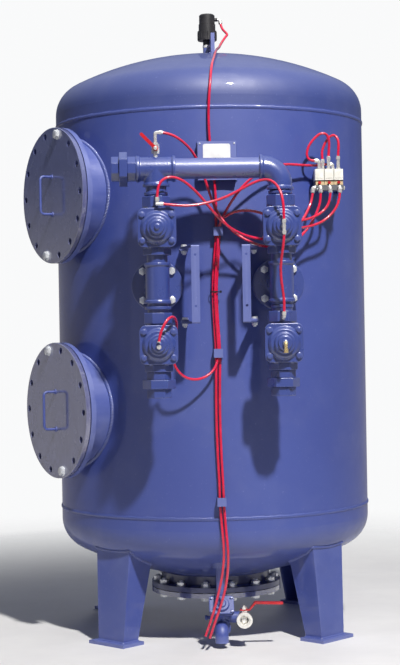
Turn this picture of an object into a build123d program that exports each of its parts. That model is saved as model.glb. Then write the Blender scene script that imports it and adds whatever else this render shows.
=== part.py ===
"""Pressurised pond filter: a dished steel pressure vessel on four legs, with side and bottom manholes,
a front valve manifold, hydraulic control tubing, a drain set and an air valve.

Frame: millimetres, +Z up, the vessel axis on Z and the floor at Z = 0. The manifold faces -Y.
"""
from build123d import *
from math import cos, pi, radians, sin, sqrt, tan
import os

os.makedirs("parts", exist_ok=True)

# ---- Vessel ---------------------------------------------------------------------------------------
VESSEL_RADIUS = 500
WALL = 6
SHELL_BOTTOM = 390
SHELL_TOP = 1634
CROWN_RADIUS = 1000
KNUCKLE_RADIUS = 100
HEAD_SKIRT = 30
SEAM_BEAD = 1.6

# ---- Legs -----------------------------------------------------------------------------------------
LEG_ANGLES = (45, 135, 225, 315)
LEG_PLATE = 8
LEG_TOP_Z = 330
FOOT_THICK = 10
FOOT_OUTER = 505
FOOT_LENGTH = 90
FOOT_WIDTH = 150
ANCHOR_PCD = 880
ANCHOR_HOLE_R = 9

# ---- Manholes -------------------------------------------------------------------------------------
MANHOLE_TURN = 61
UPPER_MANHOLE_Z = 1386
LOWER_MANHOLE_Z = 719.5
NECK_RADIUS = 174
NECK_WALL = 8
COVER_RADIUS = 210.5
COVER_FACE = 574.5
COVER_THICK = 15
RING_THICK = 16
GASKET = 2
BOLT_CIRCLE = 190
BOLT_COUNT = 14
BOLT_STEP = 360 / BOLT_COUNT
BOLT_HOLE_R = 10
BOLT_TAIL = 8
BOTTOM_BOLT_TAIL = 5
COVER_BOLT = 16
HANDLE_HALF = 58
HANDLE_STAND = 40
HANDLE_ROD = 4
HANDLE_FOOT = 8
HANDLE_FOOT_THICK = 3
BOTTOM_RING_TOP = 145

# ---- Manifold -------------------------------------------------------------------------------------
PIPE_RADIUS = 30.15
PIPE_BORE = 26.25
SOCKET_RADIUS = 30.2
SOCKET_DEPTH = 16
FITTING_RADIUS = 35
RIM_RADIUS = 38.5
RIM = 9
MANIFOLD_Y = -640
LEFT_X = -184
RIGHT_X = 175
HEADER_Z = 1428
TEE_RUN_HALF = 56.5
TEE_DROP = 52
ELBOW_REACH = 60
ELBOW_DROP = 65
UPPER_VALVE_Z = 1263
LOWER_VALVE_Z = 928
VALVE_HALF = 85
TEE_Z = 1098
TEE_HALF = 59
NOZZLE_Z = 1094
FLANGE_RADIUS = 76
FLANGE_THICK = 18
FLANGE_FRONT = 545
FLANGE_BOLT = 16
FLANGE_BOLT_HALF = 42.7
NUT_TOP = 820
NUT_BOTTOM = 794
TAIL_BOTTOM = 768
UNION_FLATS = 70

# ---- Hydraulic valves, measured from the manifold plane --------------------------------------------
BONNET_DROP = 7
BONNET_WIDTH = 111
BONNET_HEIGHT = 113
BONNET_CORNER = 20
BONNET_PLATE = 10
BODY_FACE = 40
CHAMBER_RADIUS = 46
PLUNGER_RADIUS = 24
PLUNGER_TRAVEL = 21.5
STEM_RADIUS = 4
STEM_HOLE = 4.05
BONNET_BOLT = 10
BONNET_BOLT_X = 42
BONNET_BOLT_Z = 37

# ---- Brackets, guides, controls ---------------------------------------------------------------------
PANEL_BAR_X = 74
PANEL_BAR_FRONT = 630
PANEL_BAR_WIDTH = 24
PANEL_STRAP = 6
PANEL_BOTTOM = 981
PANEL_TOP = 1208
PANEL_HOLE_Z = (1031, 1180)
PANEL_HOLE_R = 3.5
LUG_X = 103
LUG_Y = -530
LUG_BOLT = 10
GUIDES = ((-1, 1253), (-6, 892), (-3, 451))
GUIDE_HEIGHT = 26
GUIDE_WIDTH = 27
GUIDE_FRONT = 530
SOLENOID_X = (309, 338, 367)
SOLENOID_FRONT = 470
SOLENOID_BACK = 435

# ---- Drain set --------------------------------------------------------------------------------------
DRAIN_X = -5
DRAIN_Y = -390
DRAIN_Z = 100
DRAIN_TILT = 35
DRAIN_PIPE_R = 13
DRAIN_BONNET_WIDTH = 76
DRAIN_BONNET_HEIGHT = 60
OUTLET_Z = 57
BRANCH_Z = 86
BALL_X = 63
BALL_Y = -432
BALL_TRAVEL_GAP = 0.3

# ---- Air valve --------------------------------------------------------------------------------------
AIR_BASE = 1888
AIR_TOP = 1998
TUBE_D = 8

FRONT = (0, -1, 0)


def front_plane(x, z):
    """Sketch plane that faces the front: its offset is the distance in front of the vessel axis."""
    return Plane(origin=(x, 0, z), x_dir=(1, 0, 0), z_dir=FRONT)


def column_plane(x, y):
    """Level sketch plane through a vertical axis: its offset is the height."""
    return Plane(origin=(x, y, 0), x_dir=(1, 0, 0), z_dir=(0, 0, 1))


def header_plane():
    """Sketch plane across the header: its offset is X."""
    return Plane(origin=(0, MANIFOLD_Y, HEADER_Z), x_dir=(0, 1, 0), z_dir=(1, 0, 0))


def manhole_plane(z):
    """Sketch plane across a side manhole: its offset is the distance from the vessel axis."""
    turn = radians(MANHOLE_TURN)
    return Plane(origin=(0, 0, z), x_dir=(cos(turn), -sin(turn), 0), z_dir=(-sin(turn), -cos(turn), 0))


def turned(plane, *steps):
    """Coaxial round steps along a plane's normal, each (start, end, radius)."""
    with BuildPart() as piece:
        for start, end, radius in steps:
            with BuildSketch(plane.offset(start)):
                Circle(radius)
            extrude(amount=end - start)
    return piece.part


def hexagon(plane, start, end, flats, sides=6, turn=0):
    """A prism with wrench flats along a plane's normal."""
    with BuildPart() as piece:
        with BuildSketch(plane.offset(start)):
            RegularPolygon(flats / 2, sides, major_radius=False, rotation=turn)
        extrude(amount=end - start)
    return piece.part


def hex_bolts(plane, spots, size, top, bottom, tail):
    """Hexagon bolts along a plane's normal: heads above top, nuts below bottom, thread past the nuts."""
    flats = 1.5 * size
    head = 0.65 * size
    nut = 0.8 * size
    with BuildPart() as group:
        with BuildSketch(plane.offset(top)):
            with Locations(*spots):
                RegularPolygon(flats / 2, 6, major_radius=False)
        extrude(amount=head)
        with BuildSketch(plane.offset(bottom - nut)):
            with Locations(*spots):
                RegularPolygon(flats / 2, 6, major_radius=False)
        extrude(amount=nut)
        with BuildSketch(plane.offset(bottom - nut - tail)):
            with Locations(*spots):
                Circle(size / 2)
        extrude(amount=top - bottom + nut + tail)
    return group.part


def block(x, y, z):
    """A box between the two ends given for each direction."""
    centre = tuple((low + high) / 2 for low, high in (x, y, z))
    with BuildPart() as piece:
        with Locations(centre):
            Box(x[1] - x[0], y[1] - y[0], z[1] - z[0])
    return piece.part


def pipe_run(points, bend, radius):
    """A round bar that follows straight runs with rounded corners."""
    with BuildPart() as piece:
        with BuildLine() as route:
            FilletPolyline(*points, radius=bend)
        start = Plane(origin=route.line @ 0, z_dir=route.line % 0)
        with BuildSketch(start):
            Circle(radius)
        sweep(path=route.line)
    return piece.part


def on_circle(radius, angles):
    """Places on a circle, by angle in degrees."""
    return [(radius * cos(radians(angle)), radius * sin(radians(angle))) for angle in angles]


def save(piece, name):
    """Names a finished sub-part and writes its STEP file."""
    piece.part.label = name
    export_step(piece.part, f"parts/{name}.step")


# ---- Dished heads -----------------------------------------------------------------------------------
HEAD_RISE = CROWN_RADIUS - sqrt((CROWN_RADIUS - KNUCKLE_RADIUS) ** 2 - (VESSEL_RADIUS - KNUCKLE_RADIUS) ** 2)


def head_section(seam_z, way, inset):
    """Points of a torispherical half section, from the seam to the apex, set in by a wall thickness."""
    knuckle = Vector(VESSEL_RADIUS - KNUCKLE_RADIUS, seam_z + way * HEAD_SKIRT)
    crown = Vector(0, seam_z + way * (HEAD_SKIRT + HEAD_RISE - CROWN_RADIUS))
    lean = (knuckle - crown).normalized()
    outward = Vector(1, 0)
    up = Vector(0, way)
    seam = Vector(VESSEL_RADIUS - inset, seam_z)
    skirt = Vector(VESSEL_RADIUS - inset, knuckle.Y)
    knuckle_middle = knuckle + (outward + lean).normalized() * (KNUCKLE_RADIUS - inset)
    tangent = crown + lean * (CROWN_RADIUS - inset)
    crown_middle = crown + (lean + up).normalized() * (CROWN_RADIUS - inset)
    apex = crown + up * (CROWN_RADIUS - inset)
    return seam, skirt, knuckle_middle, tangent, crown_middle, apex


def dished_head(seam_z, way, solid=False):
    """A dished head, as a shell of the wall thickness or as the solid that it encloses."""
    outer = head_section(seam_z, way, 0)
    inner = head_section(seam_z, way, WALL)
    with BuildPart() as head:
        with BuildSketch(Plane.XZ):
            with BuildLine():
                Line(outer[0], outer[1])
                ThreePointArc(outer[1], outer[2], outer[3])
                ThreePointArc(outer[3], outer[4], outer[5])
                if solid:
                    Polyline(outer[5], (0, seam_z), outer[0])
                else:
                    Line(outer[5], inner[5])
                    ThreePointArc(inner[5], inner[4], inner[3])
                    ThreePointArc(inner[3], inner[2], inner[1])
                    Polyline(inner[1], inner[0], outer[0])
            make_face()
        revolve(axis=Axis.Z)
    return head.part


top_head_solid = dished_head(SHELL_TOP, 1, solid=True)
bottom_head_solid = dished_head(SHELL_BOTTOM, -1, solid=True)
shell_solid = turned(Plane.XY, (SHELL_BOTTOM, SHELL_TOP, VESSEL_RADIUS))
HEAD_TOP_Z = SHELL_TOP + HEAD_SKIRT + HEAD_RISE
NECK_BORE = NECK_RADIUS - NECK_WALL

with BuildPart() as vessel_shell:
    add(shell_solid)
    for seam_z in (SHELL_BOTTOM + 8, SHELL_TOP - 8):
        add(turned(Plane.XY, (seam_z - 5, seam_z + 5, VESSEL_RADIUS + SEAM_BEAD)))
    add(turned(Plane.XY, (SHELL_BOTTOM, SHELL_TOP, VESSEL_RADIUS - WALL)), mode=Mode.SUBTRACT)
    for z in (UPPER_MANHOLE_Z, LOWER_MANHOLE_Z):
        add(turned(manhole_plane(z), (300, COVER_FACE, NECK_BORE)), mode=Mode.SUBTRACT)
    for x in (LEFT_X, RIGHT_X):
        add(turned(front_plane(x, NOZZLE_Z), (400, FLANGE_FRONT, PIPE_BORE)), mode=Mode.SUBTRACT)
save(vessel_shell, "vessel_shell")

with BuildPart() as top_head:
    add(dished_head(SHELL_TOP, 1))
    Cylinder(10, 2 * AIR_TOP, mode=Mode.SUBTRACT)
save(top_head, "top_head")

with BuildPart() as bottom_head:
    add(dished_head(SHELL_BOTTOM, -1))
    Cylinder(NECK_BORE, SHELL_BOTTOM, mode=Mode.SUBTRACT)
    add(turned(column_plane(DRAIN_X, DRAIN_Y), (0, SHELL_BOTTOM, DRAIN_PIPE_R - 3)), mode=Mode.SUBTRACT)
save(bottom_head, "bottom_head")

# ---- Legs: folded channels whose web faces outward, trimmed to the head ------------------------------
LEG_WEB_TOP = 466
LEG_WEB_BOTTOM = 483
LEG_HALF_TOP = 73.5
LEG_HALF_BOTTOM = 55
LEG_DEPTH_TOP = 112
LEG_DEPTH_BOTTOM = 62


def leg_block(trim, depth_over):
    """A tapering block between the foot plate and the head, smaller all round by trim."""
    with BuildPart() as piece:
        for z, web, half, depth in ((FOOT_THICK, LEG_WEB_BOTTOM, LEG_HALF_BOTTOM, LEG_DEPTH_BOTTOM),
                                    (LEG_TOP_Z, LEG_WEB_TOP, LEG_HALF_TOP, LEG_DEPTH_TOP)):
            inner = web - depth - depth_over
            outer = web - trim
            with BuildSketch(Plane.XY.offset(z)):
                with Locations(((inner + outer) / 2, 0)):
                    Rectangle(outer - inner, 2 * (half - trim))
        loft()
    return piece.part


leg_solid = leg_block(0, 0)
leg_hollow = leg_block(LEG_PLATE, 10)

with BuildPart() as leg:
    add(leg_solid)
    add(leg_hollow, mode=Mode.SUBTRACT)
    add(bottom_head_solid, mode=Mode.SUBTRACT)

with BuildPart() as legs:
    for angle in LEG_ANGLES:
        add(leg.part.rotate(Axis.Z, angle))
save(legs, "legs")

with BuildPart() as foot_plates:
    with BuildSketch():
        for angle in LEG_ANGLES:
            reach = FOOT_OUTER - FOOT_LENGTH / 2
            with Locations(Location((reach * cos(radians(angle)), reach * sin(radians(angle)), 0), (0, 0, angle))):
                Rectangle(FOOT_LENGTH, FOOT_WIDTH)
        with PolarLocations(ANCHOR_PCD / 2, 4, 45):
            Circle(ANCHOR_HOLE_R, mode=Mode.SUBTRACT)
    extrude(amount=FOOT_THICK)
save(foot_plates, "foot_plates")

# ---- Side manholes ----------------------------------------------------------------------------------
COVER_BACK = COVER_FACE - COVER_THICK
RING_FACE = COVER_BACK - GASKET
RING_BACK = RING_FACE - RING_THICK
BOLT_ANGLES = [90 + BOLT_STEP * (step + 0.5) for step in range(BOLT_COUNT)]
BOLT_SPOTS = on_circle(BOLT_CIRCLE, BOLT_ANGLES)


def ring(plane, start, end, outer, inner, spots, hole):
    """A flat ring with bolt holes."""
    with BuildPart() as piece:
        with BuildSketch(plane.offset(start)):
            Circle(outer)
            if inner:
                Circle(inner, mode=Mode.SUBTRACT)
            with Locations(*spots):
                Circle(hole, mode=Mode.SUBTRACT)
        extrude(amount=end - start)
    return piece.part


for name, z in (("upper", UPPER_MANHOLE_Z), ("lower", LOWER_MANHOLE_Z)):
    face = manhole_plane(z)
    with BuildPart() as manhole_neck:
        add(turned(face, (300, RING_BACK, NECK_RADIUS)))
        add(shell_solid, mode=Mode.SUBTRACT)
        add(turned(face, (300, RING_BACK, NECK_BORE)), mode=Mode.SUBTRACT)
        add(ring(face, RING_BACK, RING_FACE, COVER_RADIUS, NECK_BORE, BOLT_SPOTS, BOLT_HOLE_R))
    save(manhole_neck, f"{name}_manhole_neck")

    with BuildPart() as manhole_cover:
        add(ring(face, COVER_BACK, COVER_FACE, COVER_RADIUS, 0, BOLT_SPOTS, BOLT_HOLE_R))
        chamfer(manhole_cover.edges().filter_by(GeomType.CIRCLE).filter_by(
            lambda edge: abs(edge.radius - COVER_RADIUS) < 0.1), length=1.5)
    save(manhole_cover, f"{name}_manhole_cover")

# ---- Bottom manhole ---------------------------------------------------------------------------------
BOTTOM_RING_FACE = BOTTOM_RING_TOP - RING_THICK
BOTTOM_COVER_TOP = BOTTOM_RING_FACE - GASKET
BOTTOM_COVER_FACE = BOTTOM_COVER_TOP - COVER_THICK

with BuildPart() as bottom_manhole_neck:
    add(turned(Plane.XY, (BOTTOM_RING_TOP, SHELL_BOTTOM - HEAD_SKIRT, NECK_RADIUS)))
    add(bottom_head_solid, mode=Mode.SUBTRACT)
    add(turned(Plane.XY, (BOTTOM_RING_TOP, SHELL_BOTTOM, NECK_BORE)), mode=Mode.SUBTRACT)
    add(ring(Plane.XY, BOTTOM_RING_FACE, BOTTOM_RING_TOP, COVER_RADIUS, NECK_BORE, BOLT_SPOTS, BOLT_HOLE_R))
save(bottom_manhole_neck, "bottom_manhole_neck")

with BuildPart() as bottom_manhole_cover:
    add(ring(Plane.XY, BOTTOM_COVER_FACE, BOTTOM_COVER_TOP, COVER_RADIUS, 0, BOLT_SPOTS, BOLT_HOLE_R))
save(bottom_manhole_cover, "bottom_manhole_cover")

# ---- Lift handles on the side covers ----------------------------------------------------------------
cover_grips = []
for z in (UPPER_MANHOLE_Z, LOWER_MANHOLE_Z):
    out = manhole_plane(z).z_dir
    near = Vector(0, 0, z) + out * COVER_FACE
    far = Vector(0, 0, z) + out * (COVER_FACE + HANDLE_STAND)
    rise = Vector(0, 0, HANDLE_HALF)
    cover_grips.append(pipe_run([near - rise, far - rise, far + rise, near + rise], 12, HANDLE_ROD))

with BuildPart() as cover_handles:
    add(cover_grips)
    for z in (UPPER_MANHOLE_Z, LOWER_MANHOLE_Z):
        with BuildSketch(manhole_plane(z).offset(COVER_FACE)):
            with Locations((0, -HANDLE_HALF), (0, HANDLE_HALF)):
                Circle(HANDLE_FOOT)
        extrude(amount=HANDLE_FOOT_THICK)
save(cover_handles, "cover_handles")

# ---- Cover bolts: the side covers hang on two each, the bottom cover has them all ---------------------
UPPER_BOLTS = on_circle(BOLT_CIRCLE, (90 - BOLT_STEP / 2, -90 - BOLT_STEP / 2))
LOWER_BOLTS = on_circle(BOLT_CIRCLE, (90 + BOLT_STEP / 2, -90 + BOLT_STEP / 2))
cover_fasteners = [
    hex_bolts(manhole_plane(UPPER_MANHOLE_Z), UPPER_BOLTS, COVER_BOLT, COVER_FACE, RING_BACK, BOLT_TAIL),
    hex_bolts(manhole_plane(LOWER_MANHOLE_Z), LOWER_BOLTS, COVER_BOLT, COVER_FACE, RING_BACK, BOLT_TAIL),
    hex_bolts(Plane.XY.rotated((180, 0, 0)), [(x, -y) for x, y in BOLT_SPOTS], COVER_BOLT,
              -BOTTOM_COVER_FACE, -BOTTOM_RING_TOP, BOTTOM_BOLT_TAIL),
]

with BuildPart() as cover_bolts:
    add(cover_fasteners)
save(cover_bolts, "cover_bolts")

# ---- Nozzles on the shell and the flanged tees -------------------------------------------------------
NOZZLE_FRONT = FLANGE_FRONT - FLANGE_THICK - GASKET
NOZZLE_BACK = NOZZLE_FRONT - FLANGE_THICK
FLANGE_SPOTS = [(side * FLANGE_BOLT_HALF, level * FLANGE_BOLT_HALF) for side in (-1, 1) for level in (-1, 1)]

with BuildPart() as shell_nozzles:
    for x in (LEFT_X, RIGHT_X):
        add(turned(front_plane(x, NOZZLE_Z), (400, NOZZLE_BACK, PIPE_RADIUS)))
    add(shell_solid, mode=Mode.SUBTRACT)
    for x in (LEFT_X, RIGHT_X):
        nozzle_plane = front_plane(x, NOZZLE_Z)
        add(ring(nozzle_plane, NOZZLE_BACK, NOZZLE_FRONT, FLANGE_RADIUS, PIPE_BORE, FLANGE_SPOTS, 9))
        add(turned(nozzle_plane, (400, NOZZLE_FRONT, PIPE_BORE)), mode=Mode.SUBTRACT)
save(shell_nozzles, "shell_nozzles")

with BuildPart() as flanged_tees:
    for x in (LEFT_X, RIGHT_X):
        run = column_plane(x, MANIFOLD_Y)
        branch = front_plane(x, NOZZLE_Z)
        top = TEE_Z + TEE_HALF
        bottom = TEE_Z - TEE_HALF
        add(turned(run, (bottom, top, FITTING_RADIUS), (bottom, bottom + RIM, RIM_RADIUS),
                   (top - RIM, top, RIM_RADIUS)))
        add(turned(branch, (FLANGE_FRONT, -MANIFOLD_Y, FITTING_RADIUS)))
        add(ring(branch, FLANGE_FRONT - FLANGE_THICK, FLANGE_FRONT, FLANGE_RADIUS, 0, FLANGE_SPOTS, 9))
        add(turned(run, (bottom, top, PIPE_BORE), (bottom, bottom + SOCKET_DEPTH, SOCKET_RADIUS),
                   (top - SOCKET_DEPTH, top, SOCKET_RADIUS)), mode=Mode.SUBTRACT)
        add(turned(branch, (NOZZLE_FRONT, -MANIFOLD_Y, PIPE_BORE)), mode=Mode.SUBTRACT)
save(flanged_tees, "flanged_tees")

flange_fasteners = [hex_bolts(front_plane(x, NOZZLE_Z), FLANGE_SPOTS, FLANGE_BOLT, FLANGE_FRONT, NOZZLE_BACK, 2)
                    for x in (LEFT_X, RIGHT_X)]
for side in (-1, 1):
    lug = column_plane(side * LUG_X, LUG_Y)
    flange_fasteners.append(hex_bolts(lug, [(0, 0)], LUG_BOLT, PANEL_TOP, PANEL_TOP - 2 * PANEL_STRAP, 4))
    flange_fasteners.append(hex_bolts(lug, [(0, 0)], LUG_BOLT, PANEL_BOTTOM + 2 * PANEL_STRAP, PANEL_BOTTOM, 4))

with BuildPart() as flange_bolts:
    add(flange_fasteners)
save(flange_bolts, "flange_bolts")

# ---- Header -----------------------------------------------------------------------------------------
TEE_LEFT = LEFT_X - TEE_RUN_HALF
TEE_RIGHT = LEFT_X + TEE_RUN_HALF
ELBOW_LEFT = RIGHT_X - ELBOW_REACH
ELBOW_BOTTOM = HEADER_Z - ELBOW_DROP
TEE_BOTTOM = HEADER_Z - TEE_DROP
left_column = column_plane(LEFT_X, MANIFOLD_Y)
right_column = column_plane(RIGHT_X, MANIFOLD_Y)

with BuildPart() as header_tee:
    add(turned(header_plane(), (TEE_LEFT, TEE_RIGHT, FITTING_RADIUS), (TEE_LEFT, TEE_LEFT + RIM, RIM_RADIUS),
               (TEE_RIGHT - RIM, TEE_RIGHT, RIM_RADIUS)))
    add(turned(left_column, (TEE_BOTTOM, HEADER_Z, FITTING_RADIUS), (TEE_BOTTOM, TEE_BOTTOM + RIM, RIM_RADIUS)))
    add(turned(header_plane(), (TEE_LEFT, TEE_RIGHT, PIPE_BORE), (TEE_LEFT, TEE_LEFT + SOCKET_DEPTH, SOCKET_RADIUS),
               (TEE_RIGHT - SOCKET_DEPTH, TEE_RIGHT, SOCKET_RADIUS)), mode=Mode.SUBTRACT)
    add(turned(left_column, (TEE_BOTTOM, HEADER_Z, PIPE_BORE),
               (TEE_BOTTOM, TEE_BOTTOM + SOCKET_DEPTH, SOCKET_RADIUS)), mode=Mode.SUBTRACT)
save(header_tee, "header_tee")

with BuildPart() as header_pipe:
    add(turned(header_plane(), (TEE_RIGHT - SOCKET_DEPTH + 1, ELBOW_LEFT + SOCKET_DEPTH - 1, PIPE_RADIUS)))
    add(turned(header_plane(), (TEE_LEFT, RIGHT_X, PIPE_BORE)), mode=Mode.SUBTRACT)
save(header_pipe, "header_pipe")

elbow_path = [(ELBOW_LEFT, MANIFOLD_Y, HEADER_Z), (RIGHT_X, MANIFOLD_Y, HEADER_Z),
              (RIGHT_X, MANIFOLD_Y, ELBOW_BOTTOM)]
elbow_outside = pipe_run(elbow_path, 50, FITTING_RADIUS)
elbow_inside = pipe_run(elbow_path, 50, PIPE_BORE)

with BuildPart() as header_elbow:
    add(elbow_outside)
    add(turned(header_plane(), (ELBOW_LEFT, ELBOW_LEFT + RIM, RIM_RADIUS)))
    add(turned(right_column, (ELBOW_BOTTOM, ELBOW_BOTTOM + RIM, RIM_RADIUS)))
    add(elbow_inside, mode=Mode.SUBTRACT)
    add(turned(header_plane(), (ELBOW_LEFT, ELBOW_LEFT + SOCKET_DEPTH, SOCKET_RADIUS)), mode=Mode.SUBTRACT)
    add(turned(right_column, (ELBOW_BOTTOM, ELBOW_BOTTOM + SOCKET_DEPTH, SOCKET_RADIUS)), mode=Mode.SUBTRACT)
save(header_elbow, "header_elbow")

# ---- Nipples, union tails and union nuts ---------------------------------------------------------------
RING_LOW = 1351
VALVE_SOCKET = 18
HEADER_NUT = (-289, -266)
HEADER_END = -312
NUT_FLATS = 83
HEADER_NUT_FLATS = 87
TAIL_SPIGOT = 14
SMALL_RING = 33


def octagon(plane, start, end, flats):
    """An eight-sided prism with a flat to the front."""
    return hexagon(plane, start, end, flats, sides=8, turn=22.5)


def nipple(plane, low, high, collar=None):
    """A short pipe with an optional raised collar."""
    with BuildPart() as piece:
        add(turned(plane, (low, high, PIPE_RADIUS)))
        if collar:
            add(collar)
        add(turned(plane, (low, high, PIPE_BORE)), mode=Mode.SUBTRACT)
    return piece.part


def union_tail(plane, mouth, shoulder, spigot):
    """The open half of a pipe union: a socket mouth, and a spigot inside the nut."""
    way = 1 if shoulder > mouth else -1
    with BuildPart() as piece:
        add(octagon(plane, mouth, shoulder, UNION_FLATS))
        add(turned(plane, (shoulder, spigot, PIPE_RADIUS)))
        add(turned(plane, (mouth, spigot, PIPE_BORE), (mouth, mouth + way * SOCKET_DEPTH, SOCKET_RADIUS)),
            mode=Mode.SUBTRACT)
    return piece.part


upper_low = UPPER_VALVE_Z - VALVE_HALF
upper_high = UPPER_VALVE_Z + VALVE_HALF
lower_low = LOWER_VALVE_Z - VALVE_HALF
lower_high = LOWER_VALVE_Z + VALVE_HALF
nipples = []
for x, fitting_bottom, ring_radius in ((LEFT_X, TEE_BOTTOM, RIM_RADIUS), (RIGHT_X, ELBOW_BOTTOM, SMALL_RING)):
    column = column_plane(x, MANIFOLD_Y)
    upper_ring = turned(column, (RING_LOW, RING_LOW + RIM, FITTING_RADIUS))
    lower_ring = turned(column, (lower_high + RIM, lower_high + 2 * RIM, ring_radius))
    union_collar = octagon(column, NUT_TOP, lower_low, UNION_FLATS)
    nipples.append(nipple(column, upper_high - VALVE_SOCKET + 1, fitting_bottom + SOCKET_DEPTH - 1, upper_ring))
    nipples.append(nipple(column, TEE_Z + TEE_HALF - SOCKET_DEPTH + 1, upper_low + VALVE_SOCKET - 1))
    nipples.append(nipple(column, lower_high - VALVE_SOCKET + 1, TEE_Z - TEE_HALF + SOCKET_DEPTH - 1, lower_ring))
    nipples.append(nipple(column, NUT_TOP - 8, lower_low + VALVE_SOCKET - 1, union_collar))
    nipples.append(union_tail(column, TAIL_BOTTOM, NUT_BOTTOM, NUT_BOTTOM + TAIL_SPIGOT))
header_collar = octagon(header_plane(), HEADER_NUT[1], TEE_LEFT, UNION_FLATS)
nipples.append(nipple(header_plane(), HEADER_NUT[1] - 7, TEE_LEFT + SOCKET_DEPTH - 1, header_collar))
nipples.append(union_tail(header_plane(), HEADER_END, HEADER_NUT[0], HEADER_NUT[0] + TAIL_SPIGOT))

with BuildPart() as pipe_nipples:
    add(nipples)
save(pipe_nipples, "pipe_nipples")

with BuildPart() as union_nuts:
    for x in (LEFT_X, RIGHT_X):
        add(hexagon(column_plane(x, MANIFOLD_Y), NUT_BOTTOM, NUT_TOP, NUT_FLATS))
        add(turned(column_plane(x, MANIFOLD_Y), (NUT_BOTTOM, NUT_TOP, PIPE_RADIUS + 0.05)), mode=Mode.SUBTRACT)
    add(hexagon(header_plane(), HEADER_NUT[0], HEADER_NUT[1], HEADER_NUT_FLATS, turn=30))
    add(turned(header_plane(), (HEADER_NUT[0], HEADER_NUT[1], PIPE_RADIUS + 0.05)), mode=Mode.SUBTRACT)
save(union_nuts, "union_nuts")

# ---- Hydraulic diaphragm valves, drawn on the valve axis and then placed four times --------------------
VALVES = (("left_upper", LEFT_X, UPPER_VALVE_Z), ("right_upper", RIGHT_X, UPPER_VALVE_Z),
          ("left_lower", LEFT_X, LOWER_VALVE_Z), ("right_lower", RIGHT_X, LOWER_VALVE_Z))
VALVE_PLACES = [(x, MANIFOLD_Y, z) for _, x, z in VALVES]
valve_front = front_plane(0, -BONNET_DROP)
BONNET_BACK = BODY_FACE + GASKET
BONNET_FACE = BONNET_BACK + BONNET_PLATE
BONNET_SPOTS = [(side * BONNET_BOLT_X, level * BONNET_BOLT_Z) for side in (-1, 1) for level in (-1, 1)]
COLLAR_FLATS = 81
WEIR_FRONT = 22
WEIR_HALF = 6
CAVITY_RADIUS = 26


def square_plate(start, end, hole):
    """The valve's square flange plate with rounded corners."""
    with BuildPart() as piece:
        with BuildSketch(valve_front.offset(start)):
            RectangleRounded(BONNET_WIDTH, BONNET_HEIGHT, BONNET_CORNER)
            Circle(hole, mode=Mode.SUBTRACT)
            with Locations(*BONNET_SPOTS):
                Circle(BONNET_BOLT / 2 + 0.3, mode=Mode.SUBTRACT)
        extrude(amount=end - start)
    return piece.part


with BuildPart() as valve_casting:
    Cylinder(FITTING_RADIUS + 1, 2 * VALVE_HALF)
    add(octagon(Plane.XY, VALVE_HALF - 32, VALVE_HALF, COLLAR_FLATS))
    add(octagon(Plane.XY, -VALVE_HALF, 21 - VALVE_HALF, COLLAR_FLATS))
    add(turned(valve_front, (-12, BODY_FACE - 10, CHAMBER_RADIUS)))
    with Locations((0, 0, -BONNET_DROP)):
        Sphere(CHAMBER_RADIUS)
    add(turned(valve_front, (BODY_FACE - 12, 2 * BODY_FACE, CHAMBER_RADIUS)), mode=Mode.SUBTRACT)
    add(turned(valve_front, (BODY_FACE - 13, BODY_FACE, CHAMBER_RADIUS)))
    add(square_plate(BODY_FACE - 10, BODY_FACE, 10))
    Cylinder(PIPE_BORE, 2 * VALVE_HALF, mode=Mode.SUBTRACT)
    for end in (-1, 1):
        with Locations((0, 0, end * (VALVE_HALF - VALVE_SOCKET / 2))):
            Cylinder(SOCKET_RADIUS, VALVE_SOCKET, mode=Mode.SUBTRACT)
    add(turned(valve_front, (WEIR_FRONT - 1, BODY_FACE, PIPE_BORE + 3)), mode=Mode.SUBTRACT)
    with BuildSketch(Plane.XY.offset(-BONNET_DROP - WEIR_HALF)):
        Circle(PIPE_BORE)
        with Locations((0, -WEIR_FRONT - 50)):
            Rectangle(100, 100, mode=Mode.SUBTRACT)
    extrude(amount=2 * WEIR_HALF)

with BuildPart() as valve_bodies:
    with Locations(*VALVE_PLACES):
        add(valve_casting.part)
save(valve_bodies, "valve_bodies")

with BuildPart() as bonnet_casting:
    add(square_plate(BONNET_BACK, BONNET_FACE, CAVITY_RADIUS))
    add(turned(valve_front, (BONNET_FACE - 1, 65, CHAMBER_RADIUS)))
    chamfer(bonnet_casting.edges().filter_by(GeomType.CIRCLE).sort_by(Axis.Y)[0], length=7)
    add(turned(valve_front, (60, 78, 29), (77, 86, 20), (85, 92, 7.5)))
    add(turned(valve_front, (BONNET_BACK, 59, CAVITY_RADIUS), (58, 89, STEM_HOLE)), mode=Mode.SUBTRACT)

drain_face = Plane(origin=(DRAIN_X, DRAIN_Y, DRAIN_Z), x_dir=(1, 0, 0),
                   z_dir=(0, -cos(radians(DRAIN_TILT)), sin(radians(DRAIN_TILT))))
DRAIN_BODY_FACE = 46
DRAIN_BONNET_FACE = DRAIN_BODY_FACE + 10
DRAIN_BONNET_SPOTS = [(side * 30, level * 22) for side in (-1, 1) for level in (-1, 1)]


def drain_plate(start, end, hole):
    """The drain valve's small square flange plate."""
    with BuildPart() as piece:
        with BuildSketch(drain_face.offset(start)):
            RectangleRounded(DRAIN_BONNET_WIDTH, DRAIN_BONNET_HEIGHT, 12)
            Circle(hole, mode=Mode.SUBTRACT)
            with Locations(*DRAIN_BONNET_SPOTS):
                Circle(3.3, mode=Mode.SUBTRACT)
        extrude(amount=end - start)
    return piece.part


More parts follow.
